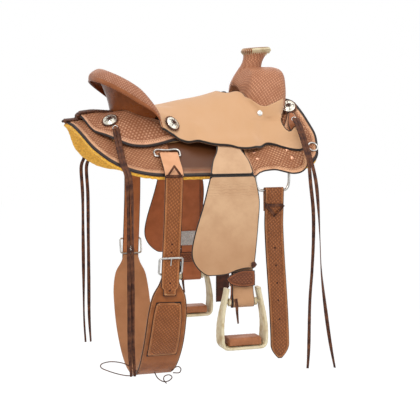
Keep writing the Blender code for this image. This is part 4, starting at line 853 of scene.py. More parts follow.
def make_materials():
    """The finishes of all the pieces."""
    tint = bpy.context.scene.saddle_finish
    MATERIAL.update({
        # The skirt's dyed edge is 7.5 mm wide: edge dye, and painted shadow under the skirt's lower edge.
        # Its plain run behind the billet carries painted shade towards the seat.
        "skirt": tanned("basket_stamped_skirting_leather", tint.tan, "#8a4f2e", 0.017, dye=0.0075,
                        plain=(-0.075, 0.115)),
        "jockey": tanned("basket_stamped_jockey_leather", tint.jockey, "#8f5230", 0.012, dye=0.0042),
        "plate": tanned("stamped_rigging_leather", tint.tan, "#8a4e2c", 0.012, dye=0.0024),
        "billet": tanned("basket_stamped_billet_leather", "#b8703f", "#74401d", 0.009, dye=0.0021,
                         stitch=0.0042),
        "flank": tanned("basket_stamped_flank_leather", "#c27641", "#7a431c", 0.0085, dye=0.0019,
                        stitch=0.004),
        "fork": tanned("basket_stamped_fork_leather", "#dfa47e", "#9c6040", 0.0, dye=0.0, rough=0.44),
        "smooth": tanned("glazed_skirting_leather", "#a5633a", "#6f3b1e", dye=0.0018, rough=0.36),
        "back": tanned("glazed_cantle_leather", "#8f5029", "#5c2d14", dye=0.0, rough=0.30),
        "roll": tanned("tooled_roll_leather", "#d6a284", "#93583a", 0.0, dye=0.0, pitch=0.0046),
        "fold": tanned("plain_billet_leather", "#dba077", "#c48a60", dye=0.0014, rough=0.5),
        "far_billet": tanned("russet_billet_leather", "#b06c40", "#8f5330", dye=0.0016, rough=0.45),
        "cinch": tanned("stitched_cinch_leather", "#9c5a2a", "#653312", stitch=0.0048),
        "far": tanned("russet_fender_leather", "#a85f36", "#7f4420", dye=0.002, rough=0.40),
        "hobble": tanned("tooled_hobble_leather", "#9c5a35", "#5f3018", 0.0075, dye=0.002, pitch=0.005),
        "tread": tanned("wrapped_tread_leather", "#a86a44", "#70401f", dye=0.0, rough=0.5),
        "rough_seat": roughed("roughout_seat_leather", tint.nap, "#c9986a", dye=0.0024),
        "rough_leg": roughed("roughout_fender_leather", "#cea680", "#b0845e", dye=0.0028,
                             crease=(-0.185, -0.128), darker_below=(-0.36, -0.20)),
        "rough_strap": roughed("roughout_strap_leather", "#bb8d66", "#95683f", dye=0.002),
        "flesh": roughed("flesh_side_leather", "#b07a52", "#935f3b", dye=0.0),
        "thong": oiled("oiled_latigo_lace", tint.lace, "#6b4028"),
        "latigo": oiled("oiled_latigo_strap", "#33180d", "#4a2414"),
        "fleece": woolly("dyed_sheepskin", tint.fleece, "#e3a838"),
        "rawhide": hide("dried_rawhide", tint.rawhide, "#b49b6e"),
        "steel": metal("bright_stainless_steel", "#c2bfba", "#8f8c87", 0.22),
        "silver": metal("engraved_german_silver", "#ded9cb", "#6d6658", 0.3),
        "screw": metal("polished_nickel", "#dddbd5", "#b5b2ab", 0.4),
        "copper": metal("copper_rivet", "#d8a184", "#8b5338", 0.3),
        "wood": woody("sanded_pine", "#b98d5a", "#96693c"),
    })


# Meshes

def tube_faces(size, count, closed):
    """Faces between a row of closed sections, and over its two ends."""
    faces = []
    for i in range(count if closed else count - 1):
        here, there = i * size, (i + 1) % count * size
        for k in range(size):
            n = (k + 1) % size
            faces.append((here + k, here + n, there + n, there + k))
    if not closed:
        faces += [tuple(range(size)), tuple(range(size * count - 1, size * count - 1 - size, -1))]
    return faces


def edge_dip(far, radius):
    """How far a rounded edge drops at a distance in from the cut."""
    return radius - math.sqrt(max(radius ** 2 - max(radius - far, 0.0) ** 2, 0.0))


def finish_mesh(name, verts, faces, materials, which=None, angle=60.0, **data):
    """A closed mesh with its faces turned outwards and its per-point values."""
    mesh = bpy.data.meshes.new(name)
    mesh.from_pydata([tuple(v) for v in verts], [], faces)
    if which is not None:
        mesh.polygons.foreach_set("material_index", which)
    for key, values in data.items():
        kind, field = ("FLOAT_VECTOR", "vector") if key == "place" else ("FLOAT", "value")
        layer = mesh.attributes.new(key, kind, "POINT")
        layer.data.foreach_set(field, np.asarray(values, np.float32).ravel())
    work = bmesh.new()
    work.from_mesh(mesh)
    bmesh.ops.recalc_face_normals(work, faces=work.faces)
    if work.calc_volume(signed=True) < 0:
        bmesh.ops.reverse_faces(work, faces=work.faces)
    work.to_mesh(mesh)
    work.free()
    mesh.shade_smooth()
    mesh.set_sharp_from_angle(angle=math.radians(angle))
    for key in materials:
        mesh.materials.append(MATERIAL[key])
    thing = bpy.data.objects.new(name, mesh)
    bpy.context.scene.collection.objects.link(thing)
    return thing


def distances(points, outline):
    """Each point's distance from a closed outline, and the length along it to the nearest place."""
    p = np.array([tuple(q) for q in points])
    a = np.array([tuple(q) for q in outline])
    b = np.roll(a, -1, axis=0)
    edge = b - a
    length = np.hypot(edge[:, 0], edge[:, 1])
    before = np.concatenate([[0], np.cumsum(length)[:-1]])
    best = np.full(len(p), 1.0)
    where = np.zeros(len(p))
    for k in range(len(a)):
        if length[k] < 1e-9:
            continue
        t = np.clip(((p - a[k]) @ edge[k]) / length[k] ** 2, 0, 1)
        off = np.hypot(*(p - a[k] - t[:, None] * edge[k]).T)
        closer = off < best
        best[closer] = off[closer]
        where[closer] = before[k] + t[closer] * length[k]
    return best, where


def within(points, outline):
    """Which points lie inside a closed outline."""
    p = np.array([tuple(q) for q in points])
    hit = np.zeros(len(p), bool)
    count = len(outline)
    for k in range(count):
        (ax, ay), (bx, by) = outline[k], outline[(k + 1) % count]
        crosses = (ay > p[:, 1]) != (by > p[:, 1])
        if ay != by:
            hit ^= crosses & (p[:, 0] < (bx - ax) * (p[:, 1] - ay) / (by - ay) + ax)
    return hit


def leather(name, edge, low, high, materials, pitch=0.008, bead=BEAD, stretch=(1.0, 1.25)):
    """A sheet cut to a plan outline, with rounded edges, between the surfaces low(u, v) and high(u, v)."""
    edge = [Vector(p).to_2d() for p in edge]
    if sum(a.x * b.y - b.x * a.y for a, b in zip(edge, edge[1:] + edge[:1])) < 0:
        edge.reverse()
    count = len(edge)
    points = list(edge)
    for row in ROWS:
        drawn = []
        for k in range(count):
            before = (edge[k] - edge[k - 1]).normalized()
            after = (edge[(k + 1) % count] - edge[k]).normalized()
            turn = before + after
            turn = turn.normalized() if turn.length > 0.1 else before
            drawn.append(edge[k] + Vector((-turn.y, turn.x)) * row)
        far, _ = distances(drawn, edge)
        points += [p for p, d, good in zip(drawn, far, within(drawn, edge)) if good and d > row * 0.9]
    xs, ys = [p.x for p in edge], [p.y for p in edge]
    tall = pitch * ROW_SHARE
    grid = [Vector(((c + 0.5 * (r % 2)) * pitch, r * tall))
            for r in range(math.floor(min(ys) / tall), math.floor(max(ys) / tall) + 2)
            for c in range(math.floor(min(xs) / pitch) - 1, math.floor(max(xs) / pitch) + 2)]
    far, _ = distances(grid, edge)
    points += [p for p, d, good in zip(grid, far, within(grid, edge))
               if good and d > ROWS[-1] + 0.3 * pitch]
    flat, _, faces, *_ = geometry.delaunay_2d_cdt(points, [], [list(range(count))], 1, 1e-7)
    far, along_it = distances(flat, edge)
    sides = {(a, b): True for face in faces for a, b in zip(face, face[1:] + face[:1])}
    walls = [(a, b) for a, b in sides if (b, a) not in sides]
    rim = set(a for a, _ in walls)
    far = [0.0 if i in rim else d for i, d in enumerate(far)]
    tops, bottoms, place = [], [], []
    for p, d in zip(flat, far):
        a, b = low(p.x, p.y), high(p.x, p.y)
        thick = (b - a).length
        share = edge_dip(d, min(bead, thick * 0.45)) / thick
        tops.append(b.lerp(a, share))
        bottoms.append(a.lerp(b, share))
        place.append((p.x * stretch[0], p.y * stretch[1], 0.0))
    n = len(flat)
    solid = [tuple(f) for f in faces] + [tuple(i + n for i in reversed(f)) for f in faces]
    solid += [(a, a + n, b + n, b) for a, b in walls]
    which = [0] * len(faces) + [len(materials) - 1] * len(faces) + [0] * len(walls)
    return finish_mesh(name, tops + bottoms, solid, materials, which, place=place + place,
                       rim=far + far, run=list(along_it) * 2)


def flat_leather(name, runs, inner, outer, side, materials, pitch=0.010, spacing=0.006, bulge=None):
    """A sheet in a plane of constant Y, from its (x, z) outline; bulge(x, z) pushes it out."""
    edge = closed_outline(*runs, spacing=spacing)
    push = bulge or (lambda x, z: 0.0)
    return leather(name, edge, lambda x, z: Vector((x, (inner + push(x, z)) * side, z)),
                   lambda x, z: Vector((x, (outer + push(x, z)) * side, z)), materials, pitch,
                   stretch=(1.0, 1.0))


def belt(name, path, side, width, thick, materials, closed=False):
    """A strap along a path, its edges rounded; width may be a function of the share."""
    lengths = travelled(path)
    rings, place, rim, run = [], [], [], []
    size = 0
    for length, (p, across, face) in zip(lengths, frames(path, side, closed)):
        half = (width(length / lengths[-1]) if callable(width) else width) / 2
        steps = [min(a, half * a / NARROW) for a in (0.0, *ROWS)]
        inner = half - steps[-1]
        cols = [-half + a for a in steps] + [-inner + 2 * inner * k / 4 for k in (1, 2, 3)]
        cols += [half - a for a in reversed(steps)]
        size = 2 * len(cols)
        end = 1.0 if closed else min(length, lengths[-1] - length)
        for up in (1, -1):
            for c in cols[::up]:
                d = half - abs(c)
                out = thick / 2 - edge_dip(d, min(BEAD, thick * 0.45))
                rings.append(p + across * c + face * (up * out))
                place.append((length, c, 0.0))
                rim.append(min(d, end))
                run.append(length)
    faces = tube_faces(size, len(path), closed)
    which = [0 if k % size < size // 2 else len(materials) - 1
             for k in range(size * (len(path) - (0 if closed else 1)))] + [0] * (0 if closed else 2)
    return finish_mesh(name, rings, faces, materials, which, place=place, rim=rim, run=run)


def loft(name, rings, materials, closed=False, angle=60.0, rim=None):
    """A skin over a row of closed sections, with its girth and length as plan coordinates."""
    size = len(rings[0])
    place, edge = [], []
    for i, (ring, length) in enumerate(zip(rings, travelled([ring[size // 4] for ring in rings]))):
        for k, girth in enumerate(travelled(ring)):
            place.append((length, girth, 0.0))
            edge.append(rim(i, k) if rim else FAR_IN)
    verts = [p for ring in rings for p in ring]
    return finish_mesh(name, verts, tube_faces(size, len(rings), closed), materials, None, angle,
                       place=place, rim=edge, run=[0.0] * len(verts))


def rod(name, path, radius, material, side=None, closed=False, sides=14):
    """A round bar or thread along a path; radius may be a function of the share."""
    rings = []
    for i, (p, across, face) in enumerate(frames(path, side or ANY_SIDE, closed)):
        r = radius(i / max(len(path) - 1, 1)) if callable(radius) else radius
        rings.append([p + across * a + face * b for a, b in round_section(r, sides)])
    return loft(name, rings, [material], closed)


def turning(name, profile, place, material, sides=40, ripple=0.0, lobes=0):
    """A profile of (radius, height) pairs turned round the place's Z axis."""
    spots = [(0.0, 0.0, profile[0][1])]
    for radius, height in profile[1:-1]:
        for k in range(sides):
            a = 2 * math.pi * k / sides
            r = radius * (1 + ripple * math.cos(lobes * a))
            spots.append((r * math.cos(a), r * math.sin(a), height))
    spots.append((0.0, 0.0, profile[-1][1]))
    verts = [place @ Vector(p) for p in spots]
    spots[0] = (0.0, 0.0, 0.0)
    faces, rings, last = [], len(profile) - 2, len(verts) - 1
    for k in range(sides):
        n = (k + 1) % sides
        faces.append((0, 1 + k, 1 + n))
        faces.append((last, last - sides + n, last - sides + k))
        for r in range(rings - 1):
            a, b = 1 + r * sides, 1 + (r + 1) * sides
            faces.append((a + k, b + k, b + n, a + n))
    return finish_mesh(name, verts, faces, [material], None, 35.0, place=spots,
                       rim=[FAR_IN] * len(verts), run=[0.0] * len(verts))


def wear(piece, body, slot, *nodes):
    """Hangs a piece on a body, names its slot, and shows it in place of CAD nodes."""
    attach(piece, body)
    if nodes:
        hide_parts(*nodes)
    return piece


def paint_node(node, key):
    """Gives a CAD node that is shown as it is its material."""
    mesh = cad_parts[node].data
    mesh.materials.clear()
    mesh.materials.append(MATERIAL[key])


# Pieces

def dress_skirts():
    """Skirts with their sheepskin lining."""
    for word, side in SIDES:
        edge = closed_outline(SKIRT_REAR, *DEE_NOTCH, SKIRT_FRONT, SKIRT_INNER, spacing=0.007)

        def shag(x, w):
            p = Vector((x * 95, w * 95, side * 7.0))
            return WOOL_UNEVEN * (noise.noise(p) + 0.6 * noise.noise(p * 2.3))

        wool = leather(f"sheepskin_{word}", edge, lambda x, w: draped(x, w, side, -shag(x, w)),
                       lambda x, w: draped(x, w, side, FLEECE), ["fleece"], 0.007, bead=0.005)
        mesh = wool.data
        rim = np.zeros(len(mesh.vertices))
        mesh.attributes["rim"].data.foreach_get("value", rim)
        tall = bpy.context.scene.saddle_sizes.tuft
        for vertex, d in zip(mesh.vertices, rim):
            if d < 0.002 and vertex.co.y * side > 0.03:
                tuft = tall * (0.4 + noise.noise(vertex.co * 120.0) + 0.8 * noise.noise(vertex.co * 310.0))
                vertex.co.y += side * tuft
                vertex.co.z -= abs(tuft) * 0.4
        wear(wool, "saddle", "fleece", f"fleece_{word}")
        wear(leather(f"skirt_leather_{word}", edge, lambda x, w: draped(x, w, side, SKIRT_LOW),
                     lambda x, w: draped(x, w, side, SKIRT_HIGH), ["skirt", "flesh"], 0.009),
             "saddle", "russet_leather", f"skirt_{word}")


def risen(side, extra):
    """The surface of the rear jockeys, which rise to the lacing between them."""
    def place(x, w):
        p = on_deck(side, extra)(x, w)
        share = smoothstep((x + 0.302) / 0.018) * smoothstep((-0.190 - x) / 0.075)
        p.z += 0.0105 * share * smoothstep((0.060 - w) / 0.050)
        return p

    return place


def dress_jockeys():
    """Rear jockeys and rigging plates."""
    for word, side in SIDES:
        edge = closed_outline(JOCKEY_EDGE, JOCKEY_INNER, spacing=0.006)
        wear(leather(f"jockey_leather_{word}", edge, risen(side, GAP), risen(side, GAP + JOCKEY),
                     ["jockey", "flesh"], 0.008), "saddle", "russet_leather", f"rear_jockey_{word}")
        edge = [Vector((max(p.x, min(p.x + PLATE_TRIM, PLATE_REAR)), p.y))
                for p in closed_outline(PLATE_EDGE + PLATE_EDGE[:1], spacing=0.006)]
        wear(leather(f"rigging_leather_{word}", edge, lambda x, w: draped(x, w, side, PLATE_LOW),
                     lambda x, w: draped(x, w, side, PLATE_HIGH), ["plate", "flesh"], 0.008),
             "saddle", "russet_leather", f"rigging_plate_{word}")
        for n, spot in enumerate(RIVETS):
            wear(turning(f"rivet_{word}_{n}", RIVET, seated(*spot, side, PLATE_HIGH), "copper", 24),
                 "saddle", "silver")


SEAT_CORNER = [(-0.100, 0.122), (-0.088, 0.124), (-0.070, 0.124), (-0.050, 0.1225)]     # under the concho


def dress_seat():
    """The seat with its front jockeys in one piece, and the ground seat under it."""
    half = rim_plan(DISH_END, 0, 80, 26)
    half += [tuple(p.xy) for p in closed_outline(SEAT_CORNER + SEAT_SIDE[4:], SEAT_FRONT,
                                              spacing=0.006)]
    half.append(SEAT_FRONT[-1])
    seat = leather("seat_leather", both_sides(half), lambda x, y: seat_point(x, y, 0.0),
                   lambda x, y: seat_point(x, y, SEAT), ["rough_seat", "flesh"], 0.008, stretch=(1, 1.1))
    wear(seat, "saddle", "roughout_leather", "seat")


def cantle_sheet(name, outer, inner, materials):
    """A layer of the cantle's back between two depths in from it."""
    rings = []
    for k in range(57):
        angle = math.radians(CANTLE_SPAN * (2 * k / 56 - 1))
        shares = [r / 14 for r in range(15)]
        rings.append([cantle_point(angle, r, outer) for r in shares]
                     + [cantle_point(angle, r, inner) for r in reversed(shares)])
    return loft(name, rings, materials)


def roll_ring(angle, sides, grow=0.0):
    """A section of the roll, which slopes down and out from the crest of the cantle."""
    across = Vector((-math.cos(angle), math.sin(angle), 0.0))
    turned = math.degrees(abs(angle))
    lean = bpy.context.scene.saddle_sizes.roll_slope + math.radians(20) * smoothstep((turned - 20) / 50)
    slope = across * math.cos(lean) - Vector((0, 0, math.sin(lean)))
    square = across * math.sin(lean) + Vector((0, 0, math.cos(lean)))
    rear = max(math.cos(angle), 0.0) ** 2           # 1 at the saddle's rear, 0 at the roll's ends
    middle = rim(angle, 0.006 + 0.004 * rear) - Vector((0, 0, 0.0120 - 0.0095 * rear))
    taper = 1 - 0.62 * smoothstep((turned - 64) / 26)
    ring = []
    for (reach, bulge), (c, _) in zip(oval(sides, 0.8, 0.8), oval(sides)):
        hook = -0.010 * max(0.0, c) ** 2 * taper    # the rear edge turns down
        ring.append(middle + slope * ((ROLL_WIDE / 2 + grow) * reach * taper)
                    + square * ((ROLL_THICK / 2 + grow) * bulge * taper + hook))
    return ring


def dress_cantle():
    """The cantle's back, its tooled roll, and the cord sewn along the roll's edge."""
    wear(cantle_sheet("cantle_back_leather", 0.0, STRAP, ["back"]), "saddle", "russet_leather",
         "cantle_back")
    inner = STRAP + BOARD_GAP
    wear(cantle_sheet("cantle_board_wood", inner, inner + BOARD, ["wood"]), "saddle", "wood",
         "cantle_board")
    count, sides = 72, 28
    rings = [roll_ring(math.radians(90 * (2 * k / count - 1)), sides) for k in range(count + 1)]
    roll = loft("cantle_roll_leather", rings, ["roll", "back", "smooth"])
    for face in roll.data.polygons[:count * sides]:         # tooled on top, glazed ahead and under; the underside takes the darker back leather, partly as painted shade under the roll
        round_at = face.index % sides
        face.material_index = 0 if 4 <= round_at <= 15 else (2 if round_at < 4 or round_at > 26 else 1)
    wear(roll, "saddle", "russet_leather", "cantle_roll")
    for name, at in (("outer", 2), ("inner", 52)):
        line = [roll_ring(math.radians(88 * (2 * k / count - 1)), 100, 0.0006)[at]
                for k in range(count + 1)]
        wear(rod(f"roll_welt_{name}", line, 0.0013, "back"), "saddle", "russet_leather")


def against(name, side):
    """A finder of the surface of a dressed piece, looked for from outside at (x, z)."""
    thing = bpy.data.objects[name]
    tree = BVHTree.FromPolygons([v.co.copy() for v in thing.data.vertices],
                                [tuple(f.vertices) for f in thing.data.polygons])

    def find(x, z):
        hit = tree.ray_cast(Vector((x, 0.4 * side, z)), Vector((0, -side, 0)))[0]
        return abs(hit.y) if hit else 0.0

    return find


APRON_EDGE = [(0.150, 0.100), (0.160, 0.096), (0.172, 0.090), (0.186, 0.078), (0.198, 0.069),
              (0.210, 0.0655), (0.222, 0.0675), (0.238, 0.074), (0.254, 0.081), (0.268, 0.086),
              (0.280, 0.088)]         # the seat's upper edge on the fork's side, (x, z)


def dress_apron():
    """The part of the seat leather that is drawn up the fork's sides."""
    columns, rows = 40, 24
    first, last = APRON_EDGE[0][0], APRON_EDGE[-1][0]
    xs = [first + (last - first) * c / columns for c in range(columns + 1)]
    heights = [[APRON_LOW + (along(APRON_EDGE, x) - APRON_LOW) * r / rows for r in range(rows + 1)]
               for x in xs]
    for word, side in SIDES:
        fork, seat = against("fork_leather", side), against("seat_leather", side)
        grid = np.array([[max(fork(x, z), seat(x, z)) for z in column] for x, column in zip(xs, heights)])
        soft = grid.copy()
        for _ in range(14):         # each pass draws the leather tighter over what it lies on
            mean = soft.copy()
            mean[1:-1, 1:-1] = (soft[:-2, 1:-1] + soft[2:, 1:-1] + soft[1:-1, :-2] + soft[1:-1, 2:]) / 4
            soft = np.maximum(mean, grid)
        rings = []
        for c, (x, column) in enumerate(zip(xs, heights)):
            outer, inner = [], []
            for r, z in enumerate(column):
                end = smoothstep(r / 8) * smoothstep(min(c, columns - c) / 8)
                lip = 0.0030 if r < rows else 0.0014
                out = soft[c][r] - 0.0006 + lip * end
                outer.append(Vector((x, out * side, z)))
                inner.append(Vector((x, (out - 0.004) * side, z)))
            rings.append(outer + inner[::-1])
        shape = loft(f"seat_apron_{word}", rings, ["rough_seat"],
                     rim=lambda i, k: 0.0 if k in (rows, rows + 1) else 0.02)
        wear(shape, "saddle", "roughout_leather")


FORK_BACK = [(0.02, 0.140), (0.112, 0.1507), (0.129, 0.1534), (0.152, 0.1644), (0.173, 0.178),
             (0.180, 0.183)]            # the fork's rear line in side view, (z, x)


def fork_ahead(at, depth=0.0):
    """How far a point of the fork's rear face is drawn forward, to lie a depth inside its rear line."""
    line = along(FORK_BACK, at.z) + 0.30 * abs(at.y) + depth
    share = smoothstep((0.235 - at.x) / 0.05) * smoothstep((at.z - 0.05) / 0.05)
    return min(max(line - at.x, 0.0), 0.020 + depth) * share


HORN_AHEAD = 0.004          # how far its middle lies ahead of the neck's
NECK_FORM = [(0.125, 0.156, 0.250), (0.140, 0.161, 0.248), (0.152, 0.166, 0.246), (0.163, 0.172, 0.245),
             (0.173, 0.178, 0.2445), (0.181, 0.184, 0.2445), (0.190, 0.1885, 0.2465),
             (0.199, 0.1915, 0.2500), (0.206, 0.1925, 0.2545), (0.212, 0.1930, 0.2600),
             (0.218, 0.1930, 0.2660)]        # the neck's sections in side view, (z, rear, front)


def dress_fork():
    """The fork's cover and the horn, wrapped in leather with a rawhide edge."""
    rings = fork_rings(0.0, sides=44, per=6)
    for at in (p for ring in rings for p in ring):
        at.x += fork_ahead(at)
        near = math.hypot(at.x - SHOULDER_X, at.z - SHOULDER_Z) / SHOULDER_REACH
        push = 0.75 * (SHOULDER_PUSH * max(0.0, 1 - near) ** 1.2 * smoothstep((at.x - 0.23) / 0.03))
        at.x += push
        at.z += push
    wear(loft("fork_leather", rings, ["fork"]), "saddle", "russet_leather", "fork_cover")
    rings = fork_rings(CORE_DEPTH, sides=28, per=4)
    for at in (p for ring in rings for p in ring):
        at.x += fork_ahead(at, CORE_DEPTH + CORE_ROOM)
    wear(loft("fork_wood", rings, ["wood"]), "saddle", "wood", "tree_fork")
    rings = []
    for z, rear, front in NECK_FORM:
        middle, half = (rear + front) / 2, (front - rear) / 2
        tilt = math.tan(CAP_TILT) * smoothstep((z - 0.19) / 0.03)
        rings.append([Vector((middle + half * c, min(half, 0.036) * s, z + tilt * half * c))
                      for c, s in oval(56)])
    wear(loft("horn_neck_leather", rings, ["fork"]), "saddle", "russet_leather", "horn_neck")
    high = COLLAR_TALL + CAP_THICK
    wide = bpy.context.scene.saddle_sizes.horn_radius
    place = horn_frame(NECK_TALL + 3 * GAP) @ Matrix.Translation((HORN_AHEAD, 0, 0))
    cap = turning("horn_cap_rawhide",
                  [(0, 0), (NECK_TOP_R + 0.001, 0), (wide * 0.80, COLLAR_TALL * 0.75),
                   (wide * 0.92, COLLAR_TALL * 1.25), (wide, COLLAR_TALL * 1.6),
                   (wide + 0.001, high - CAP_THICK * 0.35), (wide, high - CAP_THICK * 0.18),
                   (wide - 0.002, high - 0.001), (wide - 0.006, high), (0, high + 0.0005)],
                  place, "rawhide", 72)
    cap.data.materials.append(MATERIAL["smooth"])
    for face in cap.data.polygons:
        face.material_index = int((place.inverted() @ face.center).x < -0.55 * wide)
    wear(cap, "saddle", "rawhide", "horn_cap")
    wear(turning("horn_top_leather",
                 [(0, high + 0.0004), (wide - 0.0045, high + 0.0002), (wide - 0.0045, high + 0.0013),
                  (wide - 0.006, high + 0.0018), (wide * 0.5, high + 0.0022), (0, high + 0.0023)],
                 place, "smooth", 64), "saddle", "russet_leather")
    for k in range(40):
        a = 2 * math.pi * k / 40
        stitch = [place @ Vector((r * math.cos(a + t), r * math.sin(a + t), z)) for r, t, z in
                  ((wide * 0.90, 0.0, COLLAR_TALL * 0.55), (wide + 0.0016, 0.03, COLLAR_TALL + 0.004),
                   (wide + 0.0016, 0.07, high - 0.006), (wide - 0.003, 0.10, high + 0.0008))]
        wear(rod(f"horn_lace_{k}", stitch, 0.0008, "rawhide", Z_AXIS, sides=6), "saddle", "rawhide")


def wavy(x, z):
    """The slight hang and curl of a fender."""
    return 0.0018 * noise.noise(Vector((x * 14, z * 14, 3.0)))


def dress_legs():
    """Stirrup leathers, fenders and hobble straps."""
    face = FENDER_Y + FENDER + GAP
    half_x, half_y = LEATHER_WIDE / 2 + BAND_ROOM_X, PLY_Y + LEATHER_THICK / 2 + BAND_ROOM_Y
    inner = [(LEATHER_Y - PLY_Y, z) for z in (LEG_TOP_Z - 0.004, -0.2, -0.3, -0.38, -0.415, -0.430)]
    loop = round_bar((LEATHER_Y, BOLT_Z), LOOP_R, 150, 390, 20)
    outer = [(LEATHER_Y + PLY_Y, z) for z in (-0.430, -0.415, -0.38)]
    for word, side in SIDES:
        leg, hanger = f"leg_{word}", f"leather_{word}"
        edge = closed_outline(*NECK_EDGE, spacing=0.007)
        wear(leather(f"hanger_leather_{word}", edge, lambda x, w: draped(x, w, side, NECK_LOW),
                     lambda x, w: draped(x, w, side, NECK_HIGH), ["rough_leg"], 0.010), hanger,
             "roughout_leather", f"leather_neck_{word}")
        wear(flat_leather(f"fender_leather_{word}", FENDER_EDGE, FENDER_Y, FENDER_Y + FENDER, side,
                          ["rough_leg", "far"], 0.012, bulge=lambda x, z: 0.0008 + wavy(x, z) * 0.5),
             leg, "roughout_leather", f"fender_{word}")
        path = smooth_curve([Vector((STIRRUP_X, y * side, z)) for y, z in inner + loop + outer], 0.008)
        wear(belt(f"stirrup_strap_{word}", path, X_AXIS, LEATHER_WIDE - STRAP_TRIM, LEATHER_THICK,
                  ["rough_strap" if side == OFF else "far"] * 2), leg, "roughout_leather",
             f"stirrup_leather_{word}")
        wear(flat_leather(f"hobble_flap_leather_{word}", FLAP_EDGE, face, face + 0.003, side,
                          ["hobble", "flesh"], 0.006, 0.005), leg, "russet_leather", f"hobble_strap_{word}")
        around = [Vector((STIRRUP_X + c * half_x, (LEATHER_Y + s * half_y) * side, HOBBLE_Z))
                  for c, s in oval(64, 0.25, 0.5)]
        wear(belt(f"hobble_band_{word}", around, Z_AXIS, HOBBLE_TALL, 0.003, ["hobble", "flesh"],
                  closed=True), leg, "russet_leather")
        layers = [Vector((STIRRUP_X - 0.033, (face - 0.001) * side, z)) for z in
                  (-0.413, -0.428, -0.445, -0.462, -0.476)]
        wear(belt(f"keeper_edge_{word}", smooth_curve(layers, 0.006), Y_AXIS, 0.011, 0.0035, ["far"]),
             leg, "burgundy_leather")
        tail = [Vector((x, (face + out) * side, z)) for x, out, z in
                ((0.080, 0.004, -0.452), (0.083, 0.006, -0.470), (0.084, 0.006, -0.487),
                 (0.086, 0.005, -0.505), (0.088, 0.004, -0.520))]
        wear(belt(f"hobble_lace_{word}", smooth_curve(tail, 0.004), X_AXIS,
                  lambda s: 0.0105 * (1 - 0.55 * s), 0.0022, ["thong"]), leg, "burgundy_leather")
        knot = Matrix.Translation((0.133, (FENDER_Y + FENDER + 0.0014) * side, -0.361)) @ Matrix.Rotation(
            -side * math.pi / 2, 4, "X")
        wear(turning(f"lace_knob_{word}", [(0, 0), (0.0075, 0), (0.008, 0.002), (0.0055, 0.004),
                                           (0.002, 0.0048), (0, 0.0048)], knot, "thong", 20, 0.12, 5),
             leg, "burgundy_leather")
        paint_node(f"plate_buckle_{word}", "steel")


def dress_stirrups():
    """Rawhide-covered stirrups with leather-wrapped treads."""
    half = [Vector(row) for row in BRANCH]
    path = smooth_curve(mirrored(half), 0.005)
    middle, tall = (TREAD_TOP_Z + TREAD_LOW_Z) / 2, (TREAD_TOP_Z - TREAD_LOW_Z) / 2
    for word, side in SIDES:
        body = f"stirrup_{word}"
        framed = frames([Vector((STIRRUP_X + p.x, LEATHER_Y * side, p.y)) for p in path], Y_AXIS)
        rings = []
        for i, (p, across, face) in enumerate(framed):
            wide = path[i].z / 2
            thick = FRAME_THICK / 2 * (1 + 0.05 * math.sin(i * 1.9))
            rings.append([p + across * (c * wide) + face * (s * thick) for c, s in oval(24, 0.35, 0.6)])
        wear(loft(f"stirrup_rawhide_{word}", rings, ["rawhide"]), body, "rawhide",
             f"stirrup_frame_{word}")
        for lift, which in ((-1, "back"), (1, "front")):
            seam = [p + across * lift * path[i].z * 0.30 - face * (FRAME_THICK / 2 + 0.0002)
                    * (1 if (p.x - STIRRUP_X) * face.x > 0 else -1)
                    for i, (p, across, face) in enumerate(framed)]
            wear(rod(f"stirrup_seam_{which}_{word}", seam, 0.0008, "rawhide", sides=6), body, "rawhide")
        bolt = [Vector((STIRRUP_X + u, LEATHER_Y * side, BOLT_Z)) for u in
                (-0.0515, -0.0400, -0.0399, 0.0, 0.0399, 0.0400, 0.0515)]
        radii = [0.004, 0.004, BOLT_R, BOLT_R, BOLT_R, 0.004, 0.004]
        wear(rod(f"stirrup_bolt_{word}", bolt, lambda s: radii[round(s * 6)], "rawhide", Y_AXIS,
                 sides=24), body, "rawhide")
        rings = []
        for k in range(41):
            swell = 1 - 0.03 * (k % 4 == 0)             # the windings of the wrap
            rings.append([Vector((STIRRUP_X + (k / 20 - 1) * TREAD_LONG / 2,
                                  LEATHER_Y * side + c * TREAD_DEEP / 2 * swell,
                                  middle + s * (tall * swell))) for c, s in oval(28, 0.4, 0.5)])
        wear(loft(f"tread_leather_{word}", rings, ["tread"]), body, "russet_leather",
             f"stirrup_tread_{word}")


def hole(name, place, body, slot):
    """A punched hole in a strap, as the dark ring it shows."""
    wear(turning(name, [(0, -0.0002), (0.0026, -0.0002), (0.0027, 0.0003), (0.0017, 0.0004),
                        (0.0012, 0.0001), (0, 0.0001)], place, "latigo", 20), body, slot)


def folded_strap(low, apart, tail, x_at):
    """The centre line of a strap folded over the front dee's lower bar."""
    bar = (DEE_Y, DEE_LOW_Z)
    wrap = DEE_WIRE_R + 0.0008 + STRAP / 2
    inner = [(DEE_Y - 0.0040, tail), (DEE_Y - 0.0050, (tail + DEE_LOW_Z) / 2)]
    far = DEE_Y + apart
    outer = [(DEE_Y + 0.0050, -0.195), (DEE_Y + 0.0040, -0.222), (far + 0.0012, -0.245), (far, -0.27)]
    z = -0.32
    while z > low + 0.05:
        outer.append((far, z))
        z -= 0.05
    outer += [(far, low + 0.034), (far, low + 0.012), (far, low)]
    return [(x_at(z), y, z) for y, z in inner + round_bar(bar, wrap, 180, 0, 12) + outer]


def lace_triangle(name, ends, wide, body):
    """Flat laces between pairs of points, the last of them level."""
    for n, points in enumerate(ends):
        side = Z_AXIS if n == len(ends) - 1 else Vector((0.7, 0.0, 0.7))
        wear(belt(name.format(n), smooth_curve(points, 0.004), side, wide, 0.0016, ["thong"]), body,
             "burgundy_leather")


